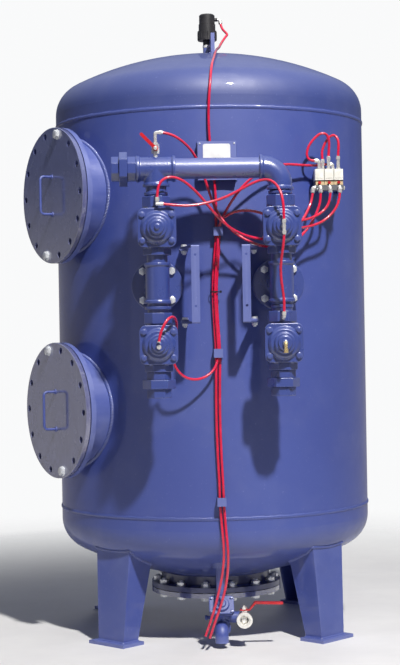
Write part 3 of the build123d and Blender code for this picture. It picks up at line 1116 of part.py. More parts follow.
# ---- Control tubes: straight runs joined by tangent arcs ---------------------------------------------------------
TUBE_SHARE = 0.45
TUBES = {
    # Air valve outlet over the top head, down through the three guides, to its open end at the drain.
    "vent_tube": [
        (44.5, -3.4, 1968), (47, -6.7, 1955.5), (52, -13, 1945), (59, -21, 1936), (66, -26, 1927), (58, -32, 1918),
        (49, -44, 1904), (40, -66, 1888), (34, -100, 1873), (27, -144, 1861), (21, -195, 1850), (16, -254, 1836),
        (10, -313, 1819), (4, -366, 1799), (-2, -412, 1780), (-7, -449, 1763), (-12, -482, 1737), (-16, -503, 1702),
        (-20, -511, 1661), (-23, -511, 1612), (-23, -511, 1560), (-20, -511, 1508), (-14, -511, 1454),
        (-9, -511, 1400),
        (-5, -511, 1345), (-6, -510, 1290), (-7, -510, 1235), (-14, -511, 1165), (-20, -511, 1082),
        (-17, -511, 995), (-12, -510, 892), (-14, -511, 800), (-15, -511, 700), (-13, -511, 600), (-9, -510, 510),
        (-8, -510, 430), (-2, -511, 360), (2, -507, 300), (-2, -498, 240), (-14, -488, 182), (-28, -481, 128),
        (-42, -474, 84), (-56, -467, 44)],
    # Pilot drain: from the solenoid block behind the header elbow, down the guides, to its open end.
    "pilot_drain_tube": [
        (341, -442, 1456), (308, -443, 1453), (276, -456, 1451), (244, -482, 1451), (208, -505, 1451),
        (170, -524, 1446), (134, -540, 1432), (104, -548, 1411), (76, -550, 1387), (52, -546, 1358),
        (33, -538, 1330), (17, -526, 1303), (6, -513, 1276), (3, -510, 1236), (-2, -511, 1160), (-9, -511, 1082),
        (-6, -511, 995), (0, -510, 892), (-3, -511, 800), (-4, -511, 700), (-2, -511, 600), (2, -510, 510),
        (4, -510, 430), (9, -513, 360), (14, -517, 300), (12, -511, 240), (3, -502, 184), (-12, -494, 132),
        (-29, -487, 86), (-44, -480, 40)],
    # Solenoid to the bonnet of the lower left valve, by way of the two upper guides.
    "left_lower_tube": [
        (340, -478, 1368), (338, -480, 1345), (328, -482, 1322), (308, -488, 1304), (284, -504, 1292),
        (256, -530, 1282), (222, -550, 1278), (186, -562, 1281), (154, -570, 1291), (124, -574, 1302),
        (94, -572, 1310), (66, -564, 1311), (40, -554, 1306), (20, -540, 1295), (4, -524, 1279), (-1, -520, 1246),
        (-3, -520, 1206), (-8, -521, 1150), (-14, -521, 1080), (-11, -521, 990), (-6, -520, 915), (-7, -520, 872),
        (-20, -527, 842), (-44, -538, 823), (-73, -551, 815), (-102, -564, 820), (-127, -574, 839),
        (-142, -582, 868), (-142, -594, 902), (-136, -615, 936), (-131, -648, 966), (-132, -684, 990),
        (-142, -715, 1002), (-158, -735, 995), (-172, -743, 972), (-181, -742, 950), (-184, -741, 929)],
    # Tap valve on the header to the solenoid supply, behind the header and the upper right valve.
    "supply_tube": [
        (-164, -640, 1533), (-141, -638, 1529), (-114, -630, 1515), (-90, -616, 1496), (-70, -596, 1472),
        (-54, -576, 1442), (-40, -562, 1408), (-28, -554, 1370), (-15, -552, 1332), (2, -556, 1296),
        (24, -564, 1266), (52, -570, 1240), (84, -574, 1220), (118, -572, 1207), (152, -562, 1202),
        (184, -548, 1204), (214, -532, 1214), (242, -512, 1232), (266, -494, 1256), (286, -484, 1284),
        (301, -480, 1314), (310, -478, 1342), (311, -478, 1368)],
    # Solenoid to the port of the upper left valve, in front of the pilot tubes.
    "left_upper_tube": [
        (-182, -700.5, 1340), (-181, -702, 1363), (-172, -702, 1386), (-152, -698, 1399), (-127, -692, 1398),
        (-102, -684, 1386), (-78, -674, 1366), (-54, -662, 1342), (-30, -648, 1314), (-6, -632, 1286),
        (22, -616, 1262), (54, -602, 1243), (90, -592, 1230), (128, -583, 1224), (164, -574, 1228),
        (198, -560, 1240), (228, -540, 1258), (252, -516, 1284), (270, -494, 1314), (283, -482, 1342),
        (287, -478, 1368)],
    # Link from the port of the upper left valve to the bonnet of the upper right valve.
    "upper_link_tube": [
        (-166, -700.5, 1322), (-138, -700, 1319), (-106, -698, 1316), (-74, -694, 1318), (-42, -688, 1324),
        (-10, -684, 1332), (22, -682, 1344), (54, -683, 1360), (84, -686, 1376), (112, -692, 1387),
        (138, -704, 1388), (158, -720, 1372), (170, -734, 1344), (175, -741, 1308), (175, -741, 1270)],
    # Bonnet of the upper right valve down to the port of the lower right valve.
    "right_lower_tube": [
        (175, -741, 1230), (173, -738, 1201), (168, -730, 1168), (165, -720, 1134), (167, -712, 1100),
        (172, -706, 1068), (176, -702, 1038), (175, -700.5, 1009)],
    # Solenoid to the rear port of the upper right valve.
    "right_upper_tube": [
        (369, -478, 1368), (366, -480, 1344), (356, -483, 1320), (338, -488, 1298), (316, -496, 1281),
        (292, -508, 1270), (268, -528, 1263), (250, -550, 1259), (237, -573, 1257), (222, -593, 1258)],
    # Two jumpers on top of the solenoid block.
    "left_jumper_tube": [
        (297, -462, 1465), (282, -463, 1465), (272, -464, 1478), (274, -464, 1498), (284, -464, 1518),
        (300, -464, 1536), (318, -464, 1548), (334, -463, 1544), (341, -462, 1526), (340, -462, 1502),
        (338, -462, 1476)],
    "right_jumper_tube": [
        (321, -452, 1468), (319, -451, 1487), (324, -449, 1507), (334, -448, 1526), (347, -449, 1541),
        (361, -454, 1542), (369, -459, 1526), (369, -462, 1502), (367, -462, 1476)],
}


def corner_radii(points):
    """The arc at each corner: as large as a share of its shorter run allows."""
    radii = []
    for before, corner, after in zip(points, points[1:], points[2:]):
        arrive = Vector(corner) - Vector(before)
        leave = Vector(after) - Vector(corner)
        half_turn = radians(arrive.get_angle(leave)) / 2
        radii.append(TUBE_SHARE * min(arrive.length, leave.length) / tan(half_turn))
    return radii


for name, points in TUBES.items():
    radii = corner_radii(points)
    with BuildPart() as control_tube:
        with BuildLine() as route:
            FilletPolyline(*points, radius=radii)
        with BuildSketch(Plane(origin=route.line @ 0, z_dir=route.line % 0)):
            Circle(TUBE_D / 2)
        sweep(path=route.line)
    save(control_tube, name)
    length = sum(edge.length for edge in route.edges())
    swept = control_tube.part.volume / (pi * TUBE_D ** 2 / 4 * length)
    print(f"{name}: length {length:.0f}, volume ratio {swept:.4f}, least radius {min(radii):.1f}, radii",
          [round(radius) for radius in radii])
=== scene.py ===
"""Blender looks for the pressurised pond filter: camera, tubes, materials, castings, welds and fasteners.

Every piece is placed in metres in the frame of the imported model.
"""
import bmesh
import bpy
from math import ceil, cos, hypot, pi, radians, sin, sqrt
from mathutils import Matrix, Vector


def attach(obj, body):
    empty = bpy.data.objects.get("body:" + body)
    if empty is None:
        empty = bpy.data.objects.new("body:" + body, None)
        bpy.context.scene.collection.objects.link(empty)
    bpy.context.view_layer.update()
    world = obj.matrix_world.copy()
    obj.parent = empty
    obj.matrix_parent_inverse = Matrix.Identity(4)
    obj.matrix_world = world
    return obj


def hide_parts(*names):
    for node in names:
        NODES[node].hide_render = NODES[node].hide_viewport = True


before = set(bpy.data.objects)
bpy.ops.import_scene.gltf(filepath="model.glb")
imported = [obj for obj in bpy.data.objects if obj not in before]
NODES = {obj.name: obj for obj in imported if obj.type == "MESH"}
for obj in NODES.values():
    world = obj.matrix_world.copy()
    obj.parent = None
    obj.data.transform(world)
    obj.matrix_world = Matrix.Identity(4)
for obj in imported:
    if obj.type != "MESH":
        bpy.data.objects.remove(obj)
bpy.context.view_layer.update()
SCENE = bpy.context.scene
UP = Vector((0, 0, 1))
FRONT = Vector((0, -1, 0))

# ---- Camera ----
CAMERA_PLACE = (-0.238, -5.226, 0.961)
CAMERA_YAW, CAMERA_PITCH, CAMERA_ROLL = radians(-2.173), radians(-0.082), radians(-0.958)
CAMERA_LENS, SENSOR_WIDTH, CLIP_END = 86.08, 36, 60
level = Vector((-sin(CAMERA_YAW), cos(CAMERA_YAW), 0))
across = Vector((cos(CAMERA_YAW), sin(CAMERA_YAW), 0))
ahead = level * cos(CAMERA_PITCH) + UP * sin(CAMERA_PITCH)
lifted = UP * cos(CAMERA_PITCH) - level * sin(CAMERA_PITCH)
right = across * cos(CAMERA_ROLL) + lifted * sin(CAMERA_ROLL)
top = lifted * cos(CAMERA_ROLL) - across * sin(CAMERA_ROLL)
camera = bpy.data.objects.new("camera", bpy.data.cameras.new("camera"))
camera.matrix_world = Matrix.Translation(CAMERA_PLACE) @ Matrix((right, top, -ahead)).transposed().to_4x4()
camera.data.lens = CAMERA_LENS
camera.data.sensor_width = SENSOR_WIDTH
camera.data.clip_end = CLIP_END
SCENE.collection.objects.link(camera)
SCENE.camera = camera
SCENE.view_settings.view_transform = "Standard"

# ---- Control tubes: the control points of each tube's smooth line ----
TUBE_DIAMETER = 0.008
ROUTES = {
    "vent_tube": [
        (0.0445, -0.0034, 1.968), (0.047, -0.0067, 1.9555), (0.052, -0.013, 1.945), (0.059, -0.021, 1.936),
        (0.066, -0.026, 1.927), (0.058, -0.032, 1.918), (0.049, -0.044, 1.904), (0.04, -0.066, 1.888),
        (0.034, -0.1, 1.873), (0.027, -0.144, 1.861), (0.021, -0.195, 1.85), (0.016, -0.254, 1.836),
        (0.01, -0.313, 1.819), (0.004, -0.366, 1.799), (-0.002, -0.412, 1.78), (-0.007, -0.449, 1.763),
        (-0.012, -0.482, 1.737), (-0.016, -0.503, 1.702), (-0.02, -0.511, 1.661), (-0.023, -0.511, 1.612),
        (-0.023, -0.511, 1.56), (-0.02, -0.511, 1.508), (-0.014, -0.511, 1.454), (-0.009, -0.511, 1.4),
        (-0.005, -0.511, 1.345), (-0.006, -0.51, 1.29), (-0.007, -0.51, 1.235), (-0.014, -0.511, 1.165),
        (-0.02, -0.511, 1.082), (-0.017, -0.511, 0.995), (-0.012, -0.51, 0.892), (-0.014, -0.511, 0.8),
        (-0.015, -0.511, 0.7), (-0.013, -0.511, 0.6), (-0.009, -0.51, 0.51), (-0.008, -0.51, 0.43),
        (-0.002, -0.511, 0.36), (0.002, -0.507, 0.3), (-0.002, -0.498, 0.24), (-0.014, -0.488, 0.182),
        (-0.028, -0.481, 0.128), (-0.042, -0.474, 0.084), (-0.056, -0.467, 0.044),
    ],
    "pilot_drain_tube": [
        (0.341, -0.442, 1.456), (0.308, -0.443, 1.453), (0.276, -0.456, 1.451), (0.244, -0.482, 1.451),
        (0.208, -0.505, 1.451), (0.17, -0.524, 1.446), (0.134, -0.54, 1.432), (0.104, -0.548, 1.411),
        (0.076, -0.55, 1.387), (0.052, -0.546, 1.358), (0.033, -0.538, 1.33), (0.017, -0.526, 1.303),
        (0.006, -0.513, 1.276), (0.003, -0.51, 1.236), (-0.002, -0.511, 1.16), (-0.009, -0.511, 1.082),
        (-0.006, -0.511, 0.995), (0.0, -0.51, 0.892), (-0.003, -0.511, 0.8), (-0.004, -0.511, 0.7),
        (-0.002, -0.511, 0.6), (0.002, -0.51, 0.51), (0.004, -0.51, 0.43), (0.009, -0.513, 0.36),
        (0.014, -0.517, 0.3), (0.012, -0.511, 0.24), (0.003, -0.502, 0.184), (-0.012, -0.494, 0.132),
        (-0.029, -0.487, 0.086), (-0.044, -0.48, 0.04),
    ],
    "left_lower_tube": [
        (0.34, -0.478, 1.368), (0.338, -0.48, 1.345), (0.328, -0.482, 1.322), (0.308, -0.488, 1.304),
        (0.284, -0.504, 1.292), (0.256, -0.53, 1.282), (0.222, -0.55, 1.278), (0.186, -0.562, 1.281),
        (0.154, -0.57, 1.291), (0.124, -0.574, 1.302), (0.094, -0.572, 1.31), (0.066, -0.564, 1.311),
        (0.04, -0.554, 1.306), (0.02, -0.54, 1.295), (0.004, -0.524, 1.279), (-0.001, -0.52, 1.246),
        (-0.003, -0.52, 1.206), (-0.008, -0.521, 1.15), (-0.014, -0.521, 1.08), (-0.011, -0.521, 0.99),
        (-0.006, -0.52, 0.915), (-0.007, -0.52, 0.872), (-0.02, -0.527, 0.842), (-0.044, -0.538, 0.823),
        (-0.073, -0.551, 0.815), (-0.102, -0.564, 0.82), (-0.127, -0.574, 0.839), (-0.142, -0.582, 0.868),
        (-0.142, -0.594, 0.902), (-0.136, -0.615, 0.936), (-0.131, -0.648, 0.966), (-0.132, -0.684, 0.99),
        (-0.142, -0.715, 1.002), (-0.158, -0.735, 0.995), (-0.172, -0.743, 0.972), (-0.181, -0.742, 0.95),
        (-0.184, -0.741, 0.929),
    ],
    "supply_tube": [
        (-0.164, -0.64, 1.533), (-0.141, -0.638, 1.529), (-0.114, -0.63, 1.515), (-0.09, -0.616, 1.496),
        (-0.07, -0.596, 1.472), (-0.054, -0.576, 1.442), (-0.04, -0.562, 1.408), (-0.028, -0.554, 1.37),
        (-0.015, -0.552, 1.332), (0.002, -0.556, 1.296), (0.024, -0.564, 1.266), (0.052, -0.57, 1.24),
        (0.084, -0.574, 1.22), (0.118, -0.572, 1.207), (0.152, -0.562, 1.202), (0.184, -0.548, 1.204),
        (0.214, -0.532, 1.214), (0.242, -0.512, 1.232), (0.266, -0.494, 1.256), (0.286, -0.484, 1.284),
        (0.301, -0.48, 1.314), (0.31, -0.478, 1.342), (0.311, -0.478, 1.368),
    ],
    "left_upper_tube": [
        (-0.182, -0.7005, 1.34), (-0.181, -0.702, 1.363), (-0.172, -0.702, 1.386), (-0.152, -0.698, 1.399),
        (-0.127, -0.692, 1.398), (-0.102, -0.684, 1.386), (-0.078, -0.674, 1.366), (-0.054, -0.662, 1.342),
        (-0.03, -0.648, 1.314), (-0.006, -0.632, 1.286), (0.022, -0.616, 1.262), (0.054, -0.602, 1.243),
        (0.09, -0.592, 1.23), (0.128, -0.583, 1.224), (0.164, -0.574, 1.228), (0.198, -0.56, 1.24),
        (0.228, -0.54, 1.258), (0.252, -0.516, 1.284), (0.27, -0.494, 1.314), (0.283, -0.482, 1.342),
        (0.287, -0.478, 1.368),
    ],
    "upper_link_tube": [
        (-0.166, -0.7005, 1.322), (-0.138, -0.7, 1.319), (-0.106, -0.698, 1.316), (-0.074, -0.694, 1.318),
        (-0.042, -0.688, 1.324), (-0.01, -0.684, 1.332), (0.022, -0.682, 1.344), (0.054, -0.683, 1.36),
        (0.084, -0.686, 1.376), (0.112, -0.692, 1.387), (0.138, -0.704, 1.388), (0.158, -0.72, 1.372),
        (0.17, -0.734, 1.344), (0.175, -0.741, 1.308), (0.175, -0.741, 1.27),
    ],
    "right_lower_tube": [
        (0.175, -0.741, 1.23), (0.173, -0.738, 1.201), (0.168, -0.73, 1.168), (0.165, -0.72, 1.134),
        (0.167, -0.712, 1.1), (0.172, -0.706, 1.068), (0.176, -0.702, 1.038), (0.175, -0.7005, 1.009),
    ],
    "right_upper_tube": [
        (0.369, -0.478, 1.368), (0.366, -0.48, 1.344), (0.356, -0.483, 1.32), (0.338, -0.488, 1.298),
        (0.316, -0.496, 1.281), (0.292, -0.508, 1.27), (0.268, -0.528, 1.263), (0.25, -0.55, 1.259),
        (0.237, -0.573, 1.257), (0.222, -0.593, 1.258),
    ],
    "left_jumper_tube": [
        (0.297, -0.462, 1.465), (0.282, -0.463, 1.465), (0.272, -0.464, 1.478), (0.274, -0.464, 1.498),
        (0.284, -0.464, 1.518), (0.3, -0.464, 1.536), (0.318, -0.464, 1.548), (0.334, -0.463, 1.544),
        (0.341, -0.462, 1.526), (0.34, -0.462, 1.502), (0.338, -0.462, 1.476),
    ],
    "right_jumper_tube": [
        (0.321, -0.452, 1.468), (0.319, -0.451, 1.487), (0.324, -0.449, 1.507), (0.334, -0.448, 1.526),
        (0.347, -0.449, 1.541), (0.361, -0.454, 1.542), (0.369, -0.459, 1.526), (0.369, -0.462, 1.502),
        (0.367, -0.462, 1.476),
    ],
}
OPEN_ENDED = ("vent_tube", "pilot_drain_tube")

tubes = {}
for name, route in ROUTES.items():
    line = bpy.data.curves.new(name + "_line", "CURVE")
    line.dimensions = "3D"
    line.bevel_depth = 1
    line.bevel_resolution = 5
    line.use_fill_caps = True
    spline = line.splines.new("NURBS")
    spline.points.add(len(route) - 1)
    for point, place in zip(spline.points, route):
        point.co = (*place, 1)
        point.radius = TUBE_DIAMETER / 2
    spline.order_u = 3
    spline.use_endpoint_u = True
    spline.resolution_u = 10
    tube = bpy.data.objects.new(name + "_red", line)
    SCENE.collection.objects.link(tube)
    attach(tube, "vessel")
    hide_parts(name)
    tubes[name] = tube

# ---- Floor and light ----
FLOOR_HALF = 60


def mesh_piece(name, vertices, faces):
    """A new mesh object in the scene."""
    mesh = bpy.data.meshes.new(name)
    mesh.from_pydata([tuple(v) for v in vertices], [], faces)
    mesh.validate()
    mesh.polygons.foreach_set("use_smooth", [True] * len(mesh.polygons))
    piece = bpy.data.objects.new(name, mesh)
    SCENE.collection.objects.link(piece)
    return piece


floor_corners = [(x * FLOOR_HALF, y * FLOOR_HALF, 0) for x, y in ((-1, -1), (1, -1), (1, 1), (-1, 1))]
floor = mesh_piece("floor", floor_corners, [(0, 1, 2, 3)])


def lamp(name, place, aim, size, watts, colour=(1, 1, 1)):
    """A square soft light aimed at a point."""
    light = bpy.data.lights.new(name, "AREA")
    light.size = size
    light.energy = watts
    light.color = colour
    holder = bpy.data.objects.new(name, light)
    holder.location = place
    holder.rotation_euler = (Vector(aim) - Vector(place)).to_track_quat("-Z", "Y").to_euler()
    SCENE.collection.objects.link(holder)
    return holder


lamp("key", (1.33, -4.77, 6.14), (0.03, -0.64, 0.9), 0.3, 760, (1.0, 0.97, 0.93))
lamp("overhead", (0.3, -0.9, 4.6), (0.1, -0.2, 1.8), 0.9, 3)
lamp("fill_left", (-4.5, -4.0, 2.0), (0, 0, 0.9), 3.0, 8, (0.95, 0.93, 0.92))
lamp("rim_right", (4.4, 1.2, 2.4), (0, 0, 1.1), 2.4, 2)
lamp("back", (1.2, 5.8, 1.3), (0, 0, 1.0), 2.4, 135).visible_glossy = False

AMBIENT, BACKDROP = (0.030, 0.036, 0.056, 1), (0.95, 0.955, 0.96, 1)
# What glossy surfaces mirror, by the height of the direction they look in
MIRROR_BANDS = (
    (0.0, (0.40, 0.385, 0.40, 1)), (0.035, (0.36, 0.35, 0.37, 1)), (0.10, (0.09, 0.10, 0.16, 1)),
    (0.25, (0.14, 0.16, 0.24, 1)), (0.75, (0.80, 0.83, 0.90, 1)),
)
world = bpy.data.worlds.new("studio")
SCENE.world = world
world.use_nodes = True
sky = world.node_tree
paths = sky.nodes.new("ShaderNodeLightPath")
height = sky.nodes.new("ShaderNodeSeparateXYZ")
sky.links.new(sky.nodes.new("ShaderNodeTexCoord").outputs["Generated"], height.inputs["Vector"])
mirrored = sky.nodes.new("ShaderNodeValToRGB")
for index, (position, colour) in enumerate(MIRROR_BANDS):
    stops = mirrored.color_ramp.elements
    stop = stops[index] if index < 2 else stops.new(position)
    stop.position = position
    stop.color = colour
sky.links.new(height.outputs["Z"], mirrored.inputs["Fac"])
soft = sky.nodes.new("ShaderNodeMixRGB")
soft.inputs["Color1"].default_value = AMBIENT
sky.links.new(mirrored.outputs["Color"], soft.inputs["Color2"])
sky.links.new(paths.outputs["Is Glossy Ray"], soft.inputs["Fac"])
seen = sky.nodes.new("ShaderNodeMixRGB")
seen.inputs["Color2"].default_value = BACKDROP
sky.links.new(soft.outputs["Color"], seen.inputs["Color1"])
sky.links.new(paths.outputs["Is Camera Ray"], seen.inputs["Fac"])
sky.links.new(seen.outputs["Color"], sky.nodes["Background"].inputs["Color"])

# ---- Materials ----


class Shader:
    """A material under construction: its node tree, its main shader and its bump chain."""

    def __init__(self, name, **sockets):
        self.material = bpy.data.materials.new(name)
        self.material.use_nodes = True
        self.tree = self.material.node_tree
        self.main = self.tree.nodes["Principled BSDF"]
        self.bump = None
        self.place = self.node("ShaderNodeTexCoord").outputs["Object"]
        for socket, value in sockets.items():
            self.main.inputs[socket.replace("_", " ")].default_value = value

    def node(self, kind, **inputs):
        """A node with its inputs set by name, where an output socket makes a link."""
        made = self.tree.nodes.new(kind)
        for socket, value in inputs.items():
            target = made.inputs[socket.replace("_", " ")]
            if isinstance(value, bpy.types.NodeSocket):
                self.tree.links.new(value, target)
            else:
                target.default_value = value
        return made

    def stretched(self, scale, turn=(0, 0, 0)):
        """Object coordinates scaled and turned, for marks that run one way."""
        return self.node("ShaderNodeMapping", Vector=self.place, Scale=scale, Rotation=turn).outputs["Vector"]

    def noise(self, scale, detail=3, rough=0.5, place=None):
        made = self.node("ShaderNodeTexNoise", Scale=scale, Detail=detail, Roughness=rough,
                         Vector=place or self.place)
        return made.outputs["Fac"]

    def cells(self, scale):
        return self.node("ShaderNodeTexVoronoi", Scale=scale, Vector=self.place).outputs["Distance"]

    def ramp(self, value, low, high, first, last):
        """A value spread between two colours or two grey levels."""
        made = self.node("ShaderNodeValToRGB", Fac=value)
        for stop, position, tone in zip(made.color_ramp.elements, (low, high), (first, last)):
            stop.position = position
            stop.color = tone if isinstance(tone, tuple) else (tone, tone, tone, 1)
        return made.outputs["Color"]

    def blend(self, share, first, last):
        return self.node("ShaderNodeMixRGB", Fac=share, Color1=first, Color2=last).outputs["Color"]

    def link(self, value, socket):
        self.tree.links.new(value, self.main.inputs[socket])

    def relief(self, height, depth, strength=1.0):
        """One more layer of relief, with its depth in metres."""
        made = self.node("ShaderNodeBump", Height=height, Distance=depth, Strength=strength)
        if self.bump:
            self.tree.links.new(self.bump, made.inputs["Normal"])
        self.bump = made.outputs["Normal"]
        self.link(self.bump, "Normal")


def rgb(red, green, blue):
    """A colour given as on a screen, from 0 to 255."""
    return tuple(c / 255 / 12.92 if c <= 10 else ((c / 255 + 0.055) / 1.055) ** 2.4
                 for c in (red, green, blue)) + (1,)


# EDGE_WEAR_GLINT lightens convex edges: a little edge wear and mostly a painted highlight.
SPECK, DUST, EDGE_WEAR_GLINT = rgb(128, 138, 190), rgb(126, 132, 168), rgb(132, 142, 196)
PEEL_SCALE, PEEL_DEPTH, METAL_GRAIN = 420, 0.0002, 0.00008


def enamel(name, light, dark, texture, edge_wear_glint=0.0, rough=(0.5, 0.6), dust=0.0, gloss=(0.5, 0.05)):
    """Blue enamel: colour drift, orange peel, dust, and lighter edges that are a little edge wear and mostly
    a painted highlight; texture is the depth of a casting's grain.
    """
    made = Shader(name, IOR=1.5, Coat_Weight=gloss[0], Coat_Roughness=gloss[1], Specular_IOR_Level=0.9)
    colour = made.ramp(made.noise(2.3, 4), 0.3, 0.7, dark, light)
    speck = made.ramp(made.noise(160, 2), 0.68, 0.76, 0.0, 0.25)
    colour = made.blend(speck, colour, SPECK)
    if dust:
        patch = made.ramp(made.noise(5.5, 6, 0.62), 0.5, 0.72, 0.0, dust)
        colour = made.blend(patch, colour, DUST)
    # Convex edges turn lighter: a little edge wear, mostly a painted highlight along the edges.
    if edge_wear_glint:
        edge = made.ramp(made.node("ShaderNodeNewGeometry").outputs["Pointiness"], 0.52, 0.62, 0.0, edge_wear_glint)
        colour = made.blend(edge, colour, EDGE_WEAR_GLINT)
    made.link(colour, "Base Color")
    made.link(made.ramp(made.noise(14, 5, 0.6), 0.3, 0.7, *rough), "Roughness")
    made.relief(made.noise(9, 2), 0.002, 0.12)
    made.relief(made.noise(PEEL_SCALE, 2), PEEL_DEPTH, 0.3)
    if texture:
        made.relief(made.noise(260, 4, 0.7), texture, 0.75)
        made.relief(made.cells(140), texture * 0.8, 0.4)
    return made.material


ENAMEL_LIGHT, ENAMEL_DARK = rgb(56, 74, 149), rgb(48, 65, 140)
CAST_LIGHT, CAST_DARK = rgb(55, 73, 143), rgb(46, 62, 129)
shell_enamel = enamel("shell_enamel", ENAMEL_LIGHT, ENAMEL_DARK, 0, dust=0.10)
# The top head wears a darker copy of the vessel's blue: painted shade, since the real head has the shell's
# paint.
shaded_head_enamel = enamel("shaded_head_enamel", rgb(46, 63, 129), rgb(40, 56, 121), 0, dust=0.10)
plate_enamel = enamel("plate_enamel", ENAMEL_LIGHT, ENAMEL_DARK, 0, edge_wear_glint=0.35, rough=(0.45, 0.58), dust=0.14)
cast_enamel = enamel("cast_enamel", CAST_LIGHT, CAST_DARK, 0.0004, edge_wear_glint=0.3, rough=(0.24, 0.38),
                     gloss=(0.6, 0.08))
dull_enamel = enamel("dull_enamel", CAST_LIGHT, CAST_DARK, 0.0003, edge_wear_glint=0.2, rough=(0.6, 0.7),
                     gloss=(0.15, 0.3))
bead_enamel = enamel("bead_enamel", ENAMEL_LIGHT, CAST_DARK, 0.0002, edge_wear_glint=0.2, rough=(0.4, 0.55))


# The covers' blues are the vessel's paint darkened: a painted reflection of dark surroundings.
SHADED_COVER_DARK, SHADED_COVER_LIGHT, COVER_EDGE_GLINT = rgb(36, 46, 112), rgb(44, 56, 128), rgb(140, 148, 196)
COVER_DUST_AND_REFLECTION, SCRATCH = rgb(92, 88, 104), rgb(168, 174, 202)
SCRATCHES = (((0.9, 0.2, 0.4), 0.5), ((-0.5, 0.7, 1.2), 0.4), ((0.2, -0.9, 0.1), 0.35))


def scratched_enamel(name, low, high):
    """A cover plate's enamel: fine straight scratches, and greyish patches that thicken from one height down
    to another: a painted reflection of the ground, with a little dust.
    """
    made = Shader(name, IOR=1.5, Coat_Weight=1.0, Coat_Roughness=0.035, Coat_IOR=2.1)
    colour = made.ramp(made.noise(3.1, 4), 0.3, 0.7, SHADED_COVER_DARK, SHADED_COVER_LIGHT)
    # Greyer towards the lower height: a painted reflection of the ground, with a little dust.
    level_of = made.node("ShaderNodeSeparateXYZ", Vector=made.place).outputs["Z"]
    fall = made.node("ShaderNodeMapRange", Value=level_of, From_Min=high, From_Max=low).outputs["Result"]
    smear = made.noise(1, 6, 0.65, made.stretched((4, 4, 14), (0.3, 0.2, 0)))
    patchy = made.node("ShaderNodeMath")
    patchy.operation = "MULTIPLY"
    made.tree.links.new(fall, patchy.inputs[0])
    made.tree.links.new(made.ramp(smear, 0.25, 0.7, 0.55, 0.95), patchy.inputs[1])
    colour = made.blend(patchy.outputs["Value"], colour, COVER_DUST_AND_REFLECTION)
    for turn, share in SCRATCHES:
        thin = made.noise(1, 2, 0.4, made.stretched((260, 260, 5), turn))
        colour = made.blend(made.ramp(thin, 0.715, 0.73, 0.0, share), colour, SCRATCH)
    # Convex rims turn lighter: a painted highlight along the cover's edges.
    edge = made.ramp(made.node("ShaderNodeNewGeometry").outputs["Pointiness"], 0.52, 0.6, 0.0, 0.5)
    made.link(made.blend(edge, colour, COVER_EDGE_GLINT), "Base Color")
    made.link(made.ramp(made.noise(18, 5, 0.6), 0.3, 0.7, 0.16, 0.34), "Roughness")
    made.relief(made.noise(7, 2), 0.002, 0.12)
    made.relief(made.noise(PEEL_SCALE, 2), PEEL_DEPTH, 0.3)
    return made.material


def metal(name, light, dark, scale, rough, spangled=False, metallic=0.7):
    """Bright plated metal with mottled colour and roughness and a fine grain."""
    made = Shader(name, Metallic=metallic, IOR=1.5)
    tone = made.cells(scale) if spangled else made.noise(scale, 4)
    made.link(made.ramp(tone, 0.25, 0.7, dark, light), "Base Color")
    made.link(made.ramp(made.noise(scale * 2, 4, 0.6), 0.3, 0.7, *rough), "Roughness")
    made.relief(made.noise(scale * 6, 3), METAL_GRAIN, 0.5)
    return made.material


def moulded(name, light, dark, rough, scale=60, grain=0.00015, coat=0.0, **sockets):
    """Moulded plastic or rubber with a fine skin texture and a little handling wear."""
    made = Shader(name, IOR=1.5, Coat_Weight=coat, **sockets)
    made.link(made.ramp(made.noise(scale, 4, 0.6), 0.32, 0.68, rgb(*dark), rgb(*light)), "Base Color")
    made.link(made.ramp(made.noise(scale * 0.6, 5, 0.6), 0.3, 0.7, *rough), "Roughness")
    made.relief(made.noise(scale * 14, 2), grain, 0.5)
    return made.material


# Each cover's copy sets the heights of its painted ground reflection.
upper_cover_enamel = scratched_enamel("upper_cover_enamel", 1.22, 1.50)
lower_cover_enamel = scratched_enamel("lower_cover_enamel", 0.64, 1.20)
bottom_cover_enamel = scratched_enamel("bottom_cover_enamel", -0.9, 0.5)
# The bottom manhole neck wears a darker copy of the vessel's blue: painted shade under the vessel.
painted_shade_enamel = enamel("painted_shade_enamel", rgb(40, 48, 98), rgb(32, 40, 86), 0, edge_wear_glint=0.2, dust=0.05)
zinc = metal("zinc", (0.88, 0.90, 0.92, 1), (0.72, 0.75, 0.78, 1), 420, (0.22, 0.4), spangled=True,
             metallic=0.55)
nickel = metal("nickel", (0.94, 0.93, 0.89, 1), (0.80, 0.78, 0.73, 1), 160, (0.14, 0.3), metallic=0.68)
brass = metal("brass", (0.86, 0.68, 0.34, 1), (0.62, 0.46, 0.20, 1), 180, (0.2, 0.38))
steel = metal("satin_steel", (0.62, 0.62, 0.62, 1), (0.42, 0.42, 0.44, 1), 240, (0.28, 0.45))
rubber = moulded("black_rubber", (40, 40, 44), (24, 24, 28), (0.55, 0.75))
diaphragm = moulded("diaphragm", (48, 46, 46), (30, 30, 32), (0.45, 0.65))
nylon = moulded("black_nylon", (46, 45, 48), (28, 28, 31), (0.32, 0.5), 45, 0.0003)
tie_nylon = moulded("tie_nylon", (36, 36, 40), (20, 20, 24), (0.3, 0.45), 120)
coil_white = moulded("coil_white", (238, 238, 232), (216, 215, 206), (0.34, 0.5), 50, 0.0002)
strip_beige = moulded("strip_beige", (206, 184, 146), (180, 158, 122), (0.35, 0.5), 70)
base_grey = moulded("base_grey", (104, 106, 110), (80, 82, 88), (0.35, 0.52), 60)
knob_red = moulded("knob_red", (196, 34, 42), (160, 22, 32), (0.24, 0.38), 90, coat=0.2)
lever_red = moulded("lever_red", (206, 30, 40), (158, 18, 28), (0.22, 0.4), 38, 0.0003, coat=0.4)
